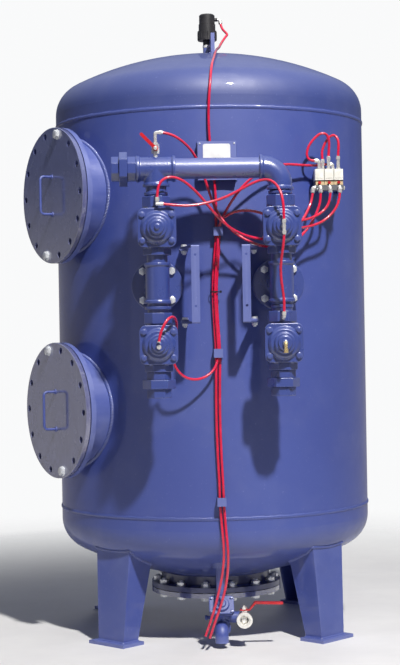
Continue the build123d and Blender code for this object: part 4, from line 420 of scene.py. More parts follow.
tube_red = moulded("tube_red", (217, 20, 68), (193, 12, 54), (0.2, 0.32), 26, 0.00005, coat=0.9,
                   Coat_Roughness=0.04, Subsurface_Weight=0.12, Subsurface_Scale=0.004)
tape = moulded("thread_tape", (238, 238, 236), (206, 206, 204), (0.5, 0.7), 120, 0.0004)
label = moulded("label_white", (240, 241, 240), (214, 216, 218), (0.28, 0.45), 24, 0.0001)
float_white = moulded("float_white", (222, 220, 210), (196, 194, 184), (0.35, 0.5), 40)
plate_coat = moulded("plate_coat", (96, 100, 112), (70, 76, 88), (0.4, 0.6), 30)
strainer_dark = moulded("strainer_dark", (72, 76, 84), (48, 52, 58), (0.4, 0.6), 50)
pipe_grey = moulded("pipe_grey", (140, 143, 148), (112, 116, 122), (0.3, 0.45), 30)
floor_pale = moulded("floor_pale", (226, 226, 226), (216, 216, 217), (0.6, 0.8), 3, 0.0002)

# The floor thins out with distance from the vessel, into the backdrop
FADE_START, FADE_END = 0.9, 3.4
tree = floor_pale.node_tree
reach = tree.nodes.new("ShaderNodeVectorMath")
reach.operation = "LENGTH"
tree.links.new(tree.nodes.new("ShaderNodeTexCoord").outputs["Object"], reach.inputs[0])
fade = tree.nodes.new("ShaderNodeMapRange")
fade.interpolation_type = "SMOOTHSTEP"
for socket, value in (("From Min", FADE_START), ("From Max", FADE_END), ("To Min", 1.0), ("To Max", 0.0)):
    fade.inputs[socket].default_value = value
tree.links.new(reach.outputs["Value"], fade.inputs["Value"])
tree.links.new(fade.outputs["Result"], tree.nodes["Principled BSDF"].inputs["Alpha"])

FINISH = (
    (shell_enamel, "vessel_shell bottom_head"), (painted_shade_enamel, "bottom_manhole_neck"),
    (plate_enamel, "legs foot_plates upper_manhole_neck lower_manhole_neck cover_handles shell_nozzles"),
    (plate_enamel, "panel_brackets shell_brackets drain_piping"), (cast_enamel, "header_pipe"),
    (cast_enamel, "pipe_nipples union_nuts"), (upper_cover_enamel, "upper_manhole_cover"),
    (lower_cover_enamel, "lower_manhole_cover"), (bottom_cover_enamel, "bottom_manhole_cover"),
    (rubber, "flange_gaskets"), (diaphragm, "left_upper_valve_plunger right_upper_valve_plunger"),
    (diaphragm, "left_lower_valve_plunger right_lower_valve_plunger drain_valve_plunger"),
    (nickel, "tap_valve_body drain_ball_valve_body tube_fittings"), (base_grey, "solenoid_base"),
    (lever_red, "tap_valve_lever drain_ball_valve_lever"), (coil_white, "solenoid_coils"),
    (knob_red, "left_override_knob middle_override_knob right_override_knob"), (nylon, "air_valve_body"),
    (float_white, "air_valve_float"), (plate_coat, "nozzle_plate"), (strainer_dark, "strainer_nozzles"),
    (pipe_grey, "internal_pipes"), (label, "nameplate"), (shaded_head_enamel, "top_head"),
)


def dress(piece, material):
    """The piece takes one material in place of those it has."""
    piece.data.materials.clear()
    piece.data.materials.append(material)


for material, nodes in FINISH:
    for node in nodes.split():
        dress(NODES[node], material)
for tube in tubes.values():
    dress(tube, tube_red)
dress(floor, floor_pale)

# ---- Castings: rounded, slightly uneven skins around the machined shapes ---
CASTING_VOXEL, FINE_VOXEL = 0.0016, 0.0011
DRAIN_TOP = 0.3          # castings below this height are duller
CASTINGS = {"valve_bodies": 3, "valve_bonnets": 2, "flanged_tees": 3, "header_tee": 3, "header_elbow": 3,
            "drain_valve_body": 2}


def casting(node, rounds, voxel=CASTING_VOXEL):
    """A copy of a node's shape with cast corners, which stands for the node."""
    source = NODES[node]
    mesh = source.data.copy()
    shape = bmesh.new()
    shape.from_mesh(mesh)
    bmesh.ops.remove_doubles(shape, verts=shape.verts, dist=1e-6)
    shape.to_mesh(mesh)
    shape.free()
    if "custom_normal" in mesh.attributes:
        mesh.attributes.remove(mesh.attributes["custom_normal"])
    piece = bpy.data.objects.new(node + "_cast", mesh)
    SCENE.collection.objects.link(piece)
    remesh = piece.modifiers.new("skin", "REMESH")
    remesh.mode = "VOXEL"
    remesh.voxel_size = voxel
    smooth = piece.modifiers.new("corners", "SMOOTH")
    smooth.factor = 0.5
    smooth.iterations = rounds
    bpy.context.view_layer.update()
    baked = bpy.data.meshes.new_from_object(piece.evaluated_get(bpy.context.evaluated_depsgraph_get()))
    piece.modifiers.clear()
    piece.data = baked
    baked.polygons.foreach_set("use_smooth", [True] * len(baked.polygons))
    dress(piece, cast_enamel)
    baked.materials.append(dull_enamel)
    baked.polygons.foreach_set("material_index", [int(face.center.z < DRAIN_TOP) for face in baked.polygons])
    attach(piece, "vessel")
    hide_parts(node)


for node, rounds in CASTINGS.items():
    casting(node, rounds)
for node in ("pipe_nipples", "union_nuts"):
    casting(node, 3, FINE_VOXEL)

# ---- Turned pieces ----
FULL_TURN = 2 * pi


class Shape:
    """Vertices and faces gathered from several turned, swept or bent solids."""

    def __init__(self):
        self.vertices, self.faces = [], []

    def rings(self, rings, closed=False):
        """Joins rings of points with equal counts; the ends are capped unless the run closes on itself."""
        start, count = len(self.vertices), len(rings[0])
        for points in rings:
            self.vertices.extend(points)
        for a in range(len(rings) if closed else len(rings) - 1):
            b = (a + 1) % len(rings)
            for j in range(count):
                k = (j + 1) % count
                self.faces.append((start + a * count + j, start + a * count + k,
                                   start + b * count + k, start + b * count + j))
        if not closed:
            self.faces.append(tuple(start + j for j in reversed(range(count))))
            self.faces.append(tuple(start + (len(rings) - 1) * count + j for j in range(count)))

    def piece(self, name, material, body="vessel", slot="blue_paint", replaced=(), smooth_angle=35):
        """The gathered shape as one object that rides a body."""
        made = mesh_piece(name, self.vertices, self.faces)
        shape = bmesh.new()
        shape.from_mesh(made.data)
        bmesh.ops.recalc_face_normals(shape, faces=shape.faces)
        for edge in shape.edges:
            if edge.is_manifold and edge.calc_face_angle() > radians(smooth_angle):
                edge.smooth = False
        shape.to_mesh(made.data)
        shape.free()
        dress(made, material)
        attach(made, body)
        if replaced:
            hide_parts(*replaced)


def axes(axis):
    """Two directions square to an axis."""
    axis = Vector(axis).normalized()
    side = axis.cross(UP if abs(axis.z) < 0.9 else Vector((1, 0, 0))).normalized()
    return axis, side, axis.cross(side)


def turned(shape, origin, axis, profile, count=32, closed=False):
    """A solid of revolution: profile is (height, radius) along the axis; closed makes a ring of it."""
    axis, side, rise = axes(axis)
    origin = Vector(origin)
    angles = [FULL_TURN * j / count for j in range(count)]
    rings = [[origin + axis * height + (side * cos(a) + rise * sin(a)) * radius for a in angles]
             for height, radius in profile]
    shape.rings(rings, closed=closed)


HEX_ANGLES = [FULL_TURN * j / 48 for j in range(48)]
WASHER_FACE, CHAMFER_SLOPE = 0.96, 0.577


def hexagonal(shape, origin, axis, start, end, flats, low_chamfer=False):
    """A hexagon head or nut whose corners are cut back by a chamfer cone."""
    axis, side, rise = axes(axis)
    origin = Vector(origin)
    washer_face = flats / 2 * WASHER_FACE
    rings = []

    def row(height_of, radius_of):
        rings.append([origin + axis * height_of(a) + (side * cos(a) + rise * sin(a)) * radius_of(a)
                      for a in HEX_ANGLES])

    def across(a):
        return flats / 2 / cos((a + pi / 6) % (pi / 3) - pi / 6)

    def drop(a):
        return (across(a) - washer_face) * CHAMFER_SLOPE

    if low_chamfer:
        row(lambda a: start, lambda a: washer_face)
        row(lambda a: start + drop(a), across)
    else:
        row(lambda a: start, across)
    row(lambda a: end - drop(a), across)
    row(lambda a: end, lambda a: washer_face)
    shape.rings(rings)


THREAD_ROOT, THREAD_END = 0.88, 0.8
WASHER_PROFILE = ((0, 0.55), (0, 1), (0.7, 1), (1, 0.96), (1, 0.55))    # shares of thickness and radius


def threaded(shape, origin, axis, start, end, radius, pitch):
    """A screw thread drawn as close rings, with a chamfered end."""
    turns = max(int((end - start) / pitch), 1)
    profile = [(start, radius)]
    for turn in range(turns):
        profile.append((start + (turn + 0.5) * pitch, radius * THREAD_ROOT))
        profile.append((start + (turn + 1) * pitch, radius))
    profile.append((end, radius * THREAD_END))
    turned(shape, origin, axis, profile, 24)


def bolt(shape, place, axis, size, top, bottom, tail, washers=True):
    """A hexagon bolt with washers, nut and thread: its head above top, its nut below bottom."""
    flats, head, nut = 1.5 * size, 0.65 * size, 0.8 * size
    washer = 0.12 * size if washers else 0.0
    origin = Vector(place)
    if washers:
        for low in (top, bottom - washer):
            profile = [(low + washer * a, size * b) for a, b in WASHER_PROFILE]
            turned(shape, origin, axis, profile, closed=True)
    hexagonal(shape, origin, axis, top + washer, top + head, flats)
    hexagonal(shape, origin, axis, bottom - nut, bottom - washer, flats, low_chamfer=True)
    turned(shape, origin, axis, [(bottom - washer, size / 2), (top + washer, size / 2)], 20)
    threaded(shape, origin, Vector(axis) * -1, nut - bottom, nut - bottom + tail, size / 2, size * 0.13)


# ---- Cover, flange and bonnet bolts ----
MANHOLE_TURN = radians(61)
MANHOLE_OUT = Vector((-sin(MANHOLE_TURN), -cos(MANHOLE_TURN), 0))
MANHOLE_SIDE = Vector((cos(MANHOLE_TURN), -sin(MANHOLE_TURN), 0))
MANHOLE_UPPER, MANHOLE_LOWER = 1.386, 0.7195
RING_BACK, NECK, BOTTOM_RING = 0.5415, 0.174, 0.145
BOLT_COUNT, BOLT_CIRCLE = 14, 0.190
BOLT_STEP = FULL_TURN / BOLT_COUNT
LEFT_X, RIGHT_X, MANIFOLD_Y = -0.184, 0.175, -0.640
NOZZLE_Z, FLANGE_BACK, FLANGE_HALF = 1.094, 0.489, 0.0427
UPPER_VALVE, LOWER_VALVE, BONNET_DROP = 1.263, 0.928, 0.007
BONNET_HALF_X, BONNET_HALF_Z, DRAIN_HALF_X, DRAIN_HALF_RISE = 0.042, 0.037, 0.030, 0.022
LUG_X, LUG_Y, LUG_THICK, PANEL_LOW, PANEL_HIGH = 0.103, -0.530, 0.012, 0.981, 1.208
# Each kind of bolt is (size, height under its head, height over its nut, length past the nut).
COVER_BOLT, BOTTOM_BOLT = (0.016, 0.5745, RING_BACK, 0.008), (0.016, -0.112, -BOTTOM_RING, 0.005)
FLANGE_BOLT, BONNET_BOLT = (0.0135, 0.545, FLANGE_BACK, 0.002), (0.010, 0.052, 0.030, 0.003)
DRAIN_BOLT, LUG_BOLT, LUG_TAIL = (0.006, 0.056, 0.038, 0.002), 0.010, 0.004

cover_bolts = Shape()
for level_z, first in ((MANHOLE_UPPER, -BOLT_STEP / 2), (MANHOLE_LOWER, BOLT_STEP / 2)):
    for quarter in (pi / 2, -pi / 2):
        angle = quarter + first
        place = Vector((0, 0, level_z)) + (MANHOLE_SIDE * cos(angle) + UP * sin(angle)) * BOLT_CIRCLE
        bolt(cover_bolts, place, MANHOLE_OUT, *COVER_BOLT)
for step in range(BOLT_COUNT):
    angle = pi / 2 + BOLT_STEP * (step + 0.5)
    place = (BOLT_CIRCLE * cos(angle), BOLT_CIRCLE * sin(angle), 0)
    bolt(cover_bolts, place, (0, 0, -1), *BOTTOM_BOLT)
cover_bolts.piece("cover_bolts_zinc", zinc, slot="zinc_steel", replaced=("cover_bolts",))

flange_bolts = Shape()
for x in (LEFT_X, RIGHT_X):
    for side in (-FLANGE_HALF, FLANGE_HALF):
        for height in (-FLANGE_HALF, FLANGE_HALF):
            bolt(flange_bolts, (x + side, 0, NOZZLE_Z + height), FRONT, *FLANGE_BOLT, washers=False)
for side in (-1, 1):
    for low, high in ((PANEL_HIGH - LUG_THICK, PANEL_HIGH), (PANEL_LOW, PANEL_LOW + LUG_THICK)):
        bolt(flange_bolts, (side * LUG_X, LUG_Y, 0), UP, LUG_BOLT, high, low, LUG_TAIL)
flange_bolts.piece("flange_bolts_zinc", zinc, slot="zinc_steel", replaced=("flange_bolts",))

bonnet_bolts = Shape()
for x in (LEFT_X, RIGHT_X):
    for valve in (UPPER_VALVE, LOWER_VALVE):
        for side in (-BONNET_HALF_X, BONNET_HALF_X):
            for height in (-BONNET_HALF_Z, BONNET_HALF_Z):
                bolt(bonnet_bolts, (x + side, MANIFOLD_Y, valve - BONNET_DROP + height), FRONT, *BONNET_BOLT)
DRAIN_TILT = radians(35)
DRAIN_OUT = Vector((0, -cos(DRAIN_TILT), sin(DRAIN_TILT)))
DRAIN_RISE = Vector((0, sin(DRAIN_TILT), cos(DRAIN_TILT)))
DRAIN_PLACE = Vector((-0.005, -0.390, 0.100))
for side in (-DRAIN_HALF_X, DRAIN_HALF_X):
    for height in (-DRAIN_HALF_RISE, DRAIN_HALF_RISE):
        place = DRAIN_PLACE + Vector((side, 0, 0)) + DRAIN_RISE * height
        bolt(bonnet_bolts, place, DRAIN_OUT, *DRAIN_BOLT)
bonnet_bolts.piece("bonnet_bolts_blue", cast_enamel, replaced=("bonnet_bolts",))

# ---- Weld beads ----
# Each kind of bead is (half width, height). A head has a crown of 1 m radius and a knuckle at its edge.
BEAD_SIDES, BEAD_PITCH, BEAD_ROOT = 8, 0.0045, 0.001
GIRTH_BEAD, SEAM_BEAD, NECK_BEAD = (0.0055, 0.0026), (0.005, 0.002), (0.008, 0.006)
BOTTOM_BEAD, COLLAR_BEAD, BOSS_BEAD = (0.007, 0.005), (0.0018, 0.0016), (0.004, 0.003)
NOZZLE_BEAD, FOOT_BEAD = (0.006, 0.0045), (0.005, 0.004)
BRACKET_BEAD, GUIDE_BEAD = (0.0035, 0.003), (0.0025, 0.002)
SHELL_RADIUS, SEAM_LOW, SEAM_HIGH, GIRTHS = 0.5, 0.392, 1.632, (0.398, 1.626)
CROWN_EDGE, KNUCKLE_AXIS, KNUCKLE_RADIUS = 0.444, 0.4, 0.1
BOTTOM_CROWN, TOP_CROWN, BOTTOM_KNUCKLE, TOP_KNUCKLE = 1.1662, 0.8578, 0.360, 1.664
APEX, BOSS_RADIUS, NOZZLE_RADIUS = 1.8577, 0.0125, 0.03015


def head_height(r, bottom=True):
    """Height of a head's outside at a distance from the vessel axis."""
    crown = sqrt(1 - r * r)
    if r < CROWN_EDGE:
        return BOTTOM_CROWN - crown if bottom else TOP_CROWN + crown
    knuckle = sqrt(max(KNUCKLE_RADIUS ** 2 - (r - KNUCKLE_AXIS) ** 2, 0))
    return BOTTOM_KNUCKLE - knuckle if bottom else TOP_KNUCKLE + knuckle


def head_normal(r, x, y, bottom=True):
    """Outward direction of a head's surface above the place x, y."""
    tilt = r if r < CROWN_EDGE else (r - KNUCKLE_AXIS) / KNUCKLE_RADIUS
    rise = sqrt(max(1 - tilt * tilt, 0))
    return Vector((tilt * x / r, tilt * y / r, -rise if bottom else rise))


def bead(shape, stations, half, height, closed=False):
    """A rippled weld bead along stations of (point, outward direction)."""
    run, dense = 0.0, []
    following = stations[1:] + stations[:1] if closed else stations[1:]
    for (a, out_a), (b, out_b) in zip(stations, following):
        length = (b - a).length
        parts = max(int(ceil(length / (BEAD_PITCH / 4))), 1)
        for part in range(parts):
            share = part / parts
            dense.append((a.lerp(b, share), out_a.lerp(out_b, share).normalized(), run + length * share))
        run += length
    if not closed:
        dense.append((stations[-1][0], stations[-1][1], run))
    rings = []
    for index, (point, out, s) in enumerate(dense):
        before = dense[index - 1][0] if index or closed else point
        after = dense[(index + 1) % len(dense)][0] if index + 1 < len(dense) or closed else point
        along = (after - before).normalized()
        side = along.cross(out).normalized()
        ring = []
        wander = 1 + 0.08 * sin(s * 95) + 0.05 * sin(s * 231 + 1)
        for j in range(BEAD_SIDES):
            angle = pi * j / (BEAD_SIDES - 1)
            ripple = 1 + 0.16 * sin(FULL_TURN * (s + 0.3 * BEAD_PITCH * sin(angle)) / BEAD_PITCH)
            rise = height * ripple * sin(angle) - (BEAD_ROOT if j in (0, BEAD_SIDES - 1) else 0)
            ring.append(point + side * half * wander * cos(angle) + out * rise)
        rings.append(ring)
    shape.rings(rings, closed=closed)


def on_shell(x, z):
    """The point on the shell's front at x and height z."""
    return Vector((x, -sqrt(SHELL_RADIUS * SHELL_RADIUS - x * x), z))


def level_out(point):
    """The direction away from the vessel's axis at a point."""
    return Vector((point.x, point.y, 0)).normalized()


def around_axis(j, count):
    """The level direction at step j of count around the vessel."""
    return Vector((cos(FULL_TURN * j / count), sin(FULL_TURN * j / count), 0))


beads = Shape()
for z in GIRTHS:
    circle = [(out * SHELL_RADIUS + UP * z, out) for out in (around_axis(j, 180) for j in range(180))]
    bead(beads, circle, *GIRTH_BEAD, closed=True)
SEAM_ANGLE = radians(68)
seam = Vector((cos(SEAM_ANGLE), sin(SEAM_ANGLE), 0))
bead(beads, [(seam * SHELL_RADIUS + UP * z, seam) for z in (SEAM_LOW, SEAM_HIGH)], *SEAM_BEAD)


def neck_welds(x, z, side, out, radius, reach, count, kinds):
    """A neck's welds: a saddle where it meets the shell, and a collar where it meets its ring."""
    saddle, collar = [], []
    for j in range(count):
        angle = FULL_TURN * j / count
        around = side * cos(angle) + UP * sin(angle)
        u = x + radius * cos(angle)
        depth = sqrt(SHELL_RADIUS * SHELL_RADIUS - u * u)
        point = side * u + UP * (z + radius * sin(angle)) + out * depth
        saddle.append((point, (around + level_out(point)).normalized()))
        collar.append((side * x + UP * z + around * radius + out * reach, (around - out).normalized()))
    bead(beads, saddle, *kinds[0], closed=True)
    bead(beads, collar, *kinds[1], closed=True)


for z in (MANHOLE_UPPER, MANHOLE_LOWER):
    neck_welds(0, z, MANHOLE_SIDE, MANHOLE_OUT, NECK, RING_BACK, 96, (NECK_BEAD, COLLAR_BEAD))

bottom_neck, bottom_collar, boss = [], [], []
for j in range(72):
    around = around_axis(j, 72)
    bottom_neck.append((around * NECK + UP * head_height(NECK), (around - UP).normalized()))
    bottom_collar.append((around * NECK + UP * BOTTOM_RING, (around + UP).normalized()))
    boss.append((around * BOSS_RADIUS + UP * APEX, (around + UP).normalized()))
bead(beads, bottom_neck, *BOTTOM_BEAD, closed=True)
bead(beads, bottom_collar, *COLLAR_BEAD, closed=True)
bead(beads, boss[::6], *BOSS_BEAD, closed=True)

for x in (LEFT_X, RIGHT_X):
    neck_welds(x, NOZZLE_Z, Vector((1, 0, 0)), FRONT, NOZZLE_RADIUS, FLANGE_BACK, 36,
               (NOZZLE_BEAD, BOSS_BEAD))

# Height, web distance, half width and depth of a leg at its foot and at its top
LEG_FOOT, LEG_TOP = (0.010, 0.483, 0.055, 0.062), (0.330, 0.466, 0.0735, 0.112)
LEG_MEETS_HEAD = 0.25    # the first guess at the height where a leg meets the head


def leg_at(z):
    """The leg's web distance, half width and depth at a height."""
    share = (z - LEG_FOOT[0]) / (LEG_TOP[0] - LEG_FOOT[0])
    return [low + (high - low) * share for low, high in zip(LEG_FOOT[1:], LEG_TOP[1:])]


def leg_weld(radial, tangent):
    """The weld around a leg's top, on the head, as stations."""
    outline = [(0, -1, inward) for inward in (1, 0.75, 0.5, 0.25)]
    outline += [(1, v, 0) for v in (-1, -0.5, 0, 0.5, 1)]
    outline += [(0, 1, inward) for inward in (0.25, 0.5, 0.75, 1)]
    stations = []
    for web_face, v, inward in outline:
        z = LEG_MEETS_HEAD
        for _ in range(12):
            web, half, depth = leg_at(z)
            u, w = web - depth * inward, v * half
            z = head_height(sqrt(u * u + w * w))
        place = radial * u + tangent * w
        plate_out = radial if web_face else tangent * v
        head_out = head_normal(sqrt(u * u + w * w), place.x, place.y)
        stations.append((place + UP * z, (head_out + plate_out).normalized()))
    return stations


def foot_weld(radial, tangent):
    """The weld around a leg's foot, on its plate."""
    web, half, depth = leg_at(LEG_FOOT[0])
    corners = [(web - depth, -half, -tangent), (web, -half, -tangent), (web, -half, radial),
               (web, half, radial), (web, half, tangent), (web - depth, half, tangent)]
    return [(radial * u + tangent * v + UP * LEG_FOOT[0], (out + UP).normalized()) for u, v, out in corners]


for turn in (pi / 4, 3 * pi / 4, 5 * pi / 4, 7 * pi / 4):
    directions = Vector((cos(turn), sin(turn), 0)), Vector((-sin(turn), cos(turn), 0))
    bead(beads, leg_weld(*directions), *NOZZLE_BEAD)
    bead(beads, foot_weld(*directions), *FOOT_BEAD)

# Sides of the nameplate's and the solenoid block's brackets: x, lower end, upper end, way out
BRACKET_SIDES = ((-0.058, 1.405, 1.520, -1), (0.057, 1.405, 1.520, 1), (0.299, 1.374, 1.442, -1),
                 (0.381, 1.374, 1.442, 1))
LUG_PLATE = 0.006
GUIDES, GUIDE_HALF_X, GUIDE_HALF_Z = ((-0.001, 1.253), (-0.006, 0.892), (-0.003, 0.451)), 0.0135, 0.013
LIFT_PLATE_FACES, LIFT_PLATE_RUN = ((0.006, -1), (0.018, 1)), (-0.125, -0.095, -0.065, -0.035)
for x, low, high, side in BRACKET_SIDES:
    stations = [(point, (level_out(point) + Vector((side, 0, 0))).normalized())
                for point in (on_shell(x, low), on_shell(x, high))]
    bead(beads, stations, *BRACKET_BEAD)
for side in (-1, 1):
    for z, way in ((PANEL_HIGH - LUG_THICK, -1), (PANEL_HIGH - LUG_PLATE, 1),
                   (PANEL_LOW + LUG_PLATE, -1), (PANEL_LOW + LUG_THICK, 1)):
        points = [on_shell(side * LUG_X + offset, z) for offset in (-LUG_THICK, 0, LUG_THICK)]
        bead(beads, [(point, (level_out(point) + UP * way).normalized()) for point in points], *BRACKET_BEAD)
for x, z in GUIDES:
    for side in (-1, 1):
        stations = [(on_shell(x + side * GUIDE_HALF_X, z + rise), Vector((side, -1, 0)).normalized())
                    for rise in (-GUIDE_HALF_Z, GUIDE_HALF_Z)]
        bead(beads, stations, *GUIDE_BEAD)
for x, way in LIFT_PLATE_FACES:
    stations = []
    for y in LIFT_PLATE_RUN:
        r = sqrt(x * x + y * y)
        stations.append((Vector((x, y, head_height(r, False))),
                         (head_normal(r, x, y, False) + Vector((way, 0, 0))).normalized()))
    bead(beads, stations, *FOOT_BEAD)
beads.piece("weld_beads", bead_enamel, smooth_angle=70)

# ---- Two-colour pieces: faces of one part that are another stuff ----


def recolour(node, material, chosen):
    """Gives the faces whose middle is chosen another material."""
    mesh = NODES[node].data
    mesh.materials.append(material)
    place = NODES[node].matrix_world
    for face in mesh.polygons:
        if chosen(place @ face.center):
            face.material_index = len(mesh.materials) - 1


# Each lever has a nickel ball and stem in the same node
BALL_PLACE, BALL_RADIUS, BALL_STEM = Vector((0.063, -0.432, 0.086)), 0.0155, 0.0085
LEVER_LOW, LEVER_HIGH, GAP = 0.113, 0.116, 0.0002
TAP_PLACE, TAP_RADIUS = Vector((LEFT_X, MANIFOLD_Y, 1.486)), 0.0065
TAP_LEVER_BACK, TAP_LEVER_FRONT = -0.6529, -0.6571
recolour("drain_ball_valve_lever", nickel,
         lambda p: (p - BALL_PLACE).length < BALL_RADIUS or p.z < LEVER_LOW - GAP
         or (p.z > LEVER_HIGH + GAP and hypot(p.x - BALL_PLACE.x, p.y - BALL_PLACE.y) < BALL_STEM))
recolour("tap_valve_lever", nickel,
         lambda p: (p - TAP_PLACE).length < TAP_RADIUS or p.y > TAP_LEVER_BACK or p.y < TAP_LEVER_FRONT)
STRIP_LOW = 1.3911
recolour("solenoid_base", strip_beige, lambda p: p.z > STRIP_LOW)
BRASS_FRONT, BRASS_LEFT, BRASS_LOW, BRASS_HIGH = -0.725, 0.15, 0.88, 0.94
recolour("tube_fittings", brass,
         lambda p: p.y < BRASS_FRONT and p.x > BRASS_LEFT and BRASS_LOW < p.z < BRASS_HIGH)
STEM_RADIUS = 0.0045
for row, z in (("upper", UPPER_VALVE), ("lower", LOWER_VALVE)):
    for side, x in (("left", LEFT_X), ("right", RIGHT_X)):
        recolour(f"{side}_{row}_valve_plunger", steel,
                 lambda p: hypot(p.x - x, p.z - (z - BONNET_DROP)) < STEM_RADIUS)

# ---- Air valve: painted riser, thread tape, grip ribs and cap ring ----
RISER_RADIUS, RISER_BORE, RISER_LOW, RISER_SHOULDER = 0.0143, 0.0126, 1.8575, 1.8870
TAPE_LOW, TAPE_HIGH, TAPE_LAYERS, TAPE_BORE = 1.8885, 1.8965, 5, 0.0141
riser = Shape()
turned(riser, (0, 0, 0), UP, [(RISER_LOW, RISER_BORE), (RISER_LOW, RISER_RADIUS),
                              (RISER_SHOULDER, RISER_RADIUS), (TAPE_LOW, RISER_RADIUS - 0.001),
                              (TAPE_LOW, RISER_BORE)], 48, closed=True)
riser.piece("air_riser_paint", cast_enamel)
wrap = Shape()
profile = [(TAPE_LOW, TAPE_BORE)]
for layer in range(TAPE_LAYERS):
    low = TAPE_LOW + (TAPE_HIGH - TAPE_LOW) * layer / TAPE_LAYERS
    profile += [(low, 0.0149 - 0.0001 * (layer % 2)), (low + 0.0013, 0.0151 - 0.0002 * (layer % 2))]
profile += [(TAPE_HIGH, 0.0145), (TAPE_HIGH, TAPE_BORE)]
turned(wrap, (0, 0, 0), UP, profile, 48, closed=True)
wrap.piece("air_thread_tape", tape, slot="label_white")

ribs = Shape()
RIB_COUNT, RIB_RADIUS, RIB_BASE, RIB_LOW, RIB_HIGH = 18, 0.0009, 0.0309, 1.9140, 1.9405
for j in range(RIB_COUNT):
    turned(ribs, around_axis(j + 0.5, RIB_COUNT) * RIB_BASE, UP,
           [(RIB_LOW, RIB_RADIUS * 0.5), (RIB_LOW + 0.001, RIB_RADIUS * 1.5),
            (RIB_HIGH - 0.001, RIB_RADIUS * 1.5), (RIB_HIGH, RIB_RADIUS * 0.5)], 10)
CAP_RINGS = ((1.9655, 0.0262), (1.9790, 0.0259))
for low, radius in CAP_RINGS:
    turned(ribs, (0, 0, 0), UP, [(low, radius - 0.001), (low + 0.0006, radius), (low + 0.0016, radius),
                                 (low + 0.0022, radius - 0.001)], 64, closed=True)
ribs.piece("air_valve_ribs", nylon, slot="black_plastic")

# ---- Tube fittings: hexagons at the feet, release collars at the mouths ----
SMALL_HEX, LARGE_HEX = 0.011, 0.012
SMALL_LENGTH, LARGE_LENGTH = 0.0045, 0.0055
BOSS_BACK, PORT_BACK, COIL_TOP, BASE_FRONT, BASE_Z = -0.732, -0.6805, 1.438, -0.470, 1.383
COIL_FITTINGS = ((0.309, -0.462), (0.338, -0.462), (0.367, -0.462), (0.353, -0.442), (0.321, -0.452))
BASE_FITTINGS = (0.311, 0.340, 0.369)
FEET = (
    ((LEFT_X, MANIFOLD_Y, 1.500), UP, 0.013), ((-0.182, PORT_BACK, 1.325), FRONT, SMALL_HEX),
    ((RIGHT_X, BOSS_BACK, 1.252), FRONT, LARGE_HEX), ((RIGHT_X, PORT_BACK, 0.994), FRONT, SMALL_HEX),
    ((LEFT_X, BOSS_BACK, 0.915), FRONT, LARGE_HEX), ((RIGHT_X, BOSS_BACK, 0.921), FRONT, LARGE_HEX),
    *(((x, y, COIL_TOP), UP, LARGE_HEX) for x, y in COIL_FITTINGS),
    *(((x, BASE_FRONT, BASE_Z), FRONT, SMALL_HEX) for x in BASE_FITTINGS),
)
hexes = Shape()
for place, axis, flats in FEET:
    length = LARGE_LENGTH if flats > SMALL_HEX else SMALL_LENGTH
    hexagonal(hexes, place, axis, GAP, length, flats, low_chamfer=True)
hexagonal(hexes, (BALL_PLACE.x, BALL_PLACE.y, 0), UP, LEVER_HIGH + GAP, 0.1225, 0.0165, low_chamfer=True)
threaded(hexes, (BALL_PLACE.x, BALL_PLACE.y, 0), UP, 0.1215, 0.1275, 0.0048, 0.001)
hexagonal(hexes, TAP_PLACE, FRONT, 0.0172, 0.0205, 0.0105, low_chamfer=True)
hexagonal(hexes, (0.382, -0.4525, BASE_Z), (1, 0, 0), 0.0, 0.005, 0.010, low_chamfer=True)
hexes.piece("fitting_hexes", nickel, slot="fitting_nickel")

collars = Shape()
COLLAR_BORE, COLLAR_OUT, COLLAR_LIP = 0.0041, 0.0056, 0.0018
for name, route in ROUTES.items():
    for end, following in ((route[0], route[1]), (route[-1], route[-2])):
        if name in OPEN_ENDED and end == route[-1]:
            continue
        way = (Vector(following) - Vector(end)).normalized()
        turned(collars, end, way, [(-0.0006, COLLAR_BORE), (-0.0006, 0.0046), (0.0004, COLLAR_OUT),
                                   (COLLAR_LIP - 0.0004, COLLAR_OUT), (COLLAR_LIP, COLLAR_OUT - 0.0004),
                                   (COLLAR_LIP, COLLAR_BORE)], 28, closed=True)
collars.piece("release_collars", nickel, slot="fitting_nickel")

# ---- Solenoid block: seal, seams, coil covers and rims ----
COILS = (0.309, 0.338, 0.367)


def brick(shape, low, high, cut):
    """A box with chamfered edges all round."""
    rings = []
    for z, inset in ((low[2], cut), (low[2] + cut, 0), (high[2] - cut, 0), (high[2], cut)):
        x0, x1, y0, y1 = low[0] + inset, high[0] - inset, low[1] + inset, high[1] - inset
        corners = ((x0 + cut, y0), (x1 - cut, y0), (x1, y0 + cut), (x1, y1 - cut),
                   (x1 - cut, y1), (x0 + cut, y1), (x0, y1 - cut), (x0, y0 + cut))
        rings.append([Vector((x, y, z)) for x, y in corners])
    shape.rings(rings)


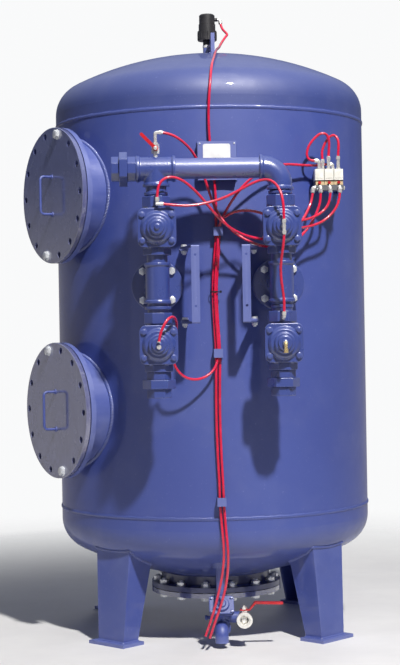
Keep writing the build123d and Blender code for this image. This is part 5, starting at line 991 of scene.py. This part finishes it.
seams = Shape()
SEAL_LOW, SEAM_HALF, COVER_HALF, RIM_HALF = 1.4034, 0.0005, 0.0115, 0.0128
brick(seams, (0.2975, -0.4704, SEAL_LOW), (0.3805, -0.4346, 1.4056), 0.0003)
for x in (0.3235, 0.3525):
    brick(seams, (x - SEAM_HALF, -0.4683, 1.3915), (x + SEAM_HALF, -0.4660, SEAL_LOW), 0.0001)
seams.piece("solenoid_seals", rubber, slot="gasket_rubber")
covers = Shape()
for x in COILS:
    brick(covers, (x - COVER_HALF, -0.4709, 1.4110), (x + COVER_HALF, -0.4690, 1.4330), 0.0006)
    brick(covers, (x - RIM_HALF, -0.4690, 1.4370), (x + RIM_HALF, -0.4350, 1.4388), 0.0006)
covers.piece("coil_covers", coil_white, slot="coil_plastic")

# ---- Small screws: nameplate, solenoid base and brackets ----
screws = Shape()


def screw(place, axis, radius):
    """A pan head with a turned rim."""
    turned(screws, place, axis, [(-0.0002, radius * 0.9), (0.0004, radius), (0.0012, radius * 0.95),
                                 (0.0019, radius * 0.7), (0.0021, radius * 0.3)], 24)


PLATE_FRONT, PLATE_SCREW, BASE_SCREW = -0.525, 0.0028, 0.0020
for x in (-0.0515, 0.0510):
    for z in (1.412, 1.513):
        screw((x, PLATE_FRONT, z), FRONT, PLATE_SCREW)
for x in (0.3025, 0.3755):
    screw((x, BASE_FRONT, 1.379), FRONT, BASE_SCREW)
screws.piece("small_screws", zinc, slot="zinc_steel")

# ---- Cable tie round the tubes ----
TIE_PLACE, TIE_X, TIE_Y = Vector((-0.0145, -0.5145, 1.074)), 0.0118, 0.0112
TIE_COUNT, TIE_HALF, TIE_THICK = 56, UP * 0.0022, 0.0012
tie = Shape()
rings = []
for j in range(TIE_COUNT):
    out = around_axis(j, TIE_COUNT)
    base = TIE_PLACE + Vector((out.x * TIE_X, out.y * TIE_Y, 0))
    outer = base + out * TIE_THICK
    rings.append([base - TIE_HALF, outer - TIE_HALF * 0.8, outer + TIE_HALF * 0.8, base + TIE_HALF])
tie.rings(rings, closed=True)
brick(tie, (0.0, -0.5285, 1.0705), (0.0065, -0.5225, 1.0775), 0.0006)
tie.piece("cable_tie", tie_nylon, slot="black_plastic")

bpy.context.view_layer.update()
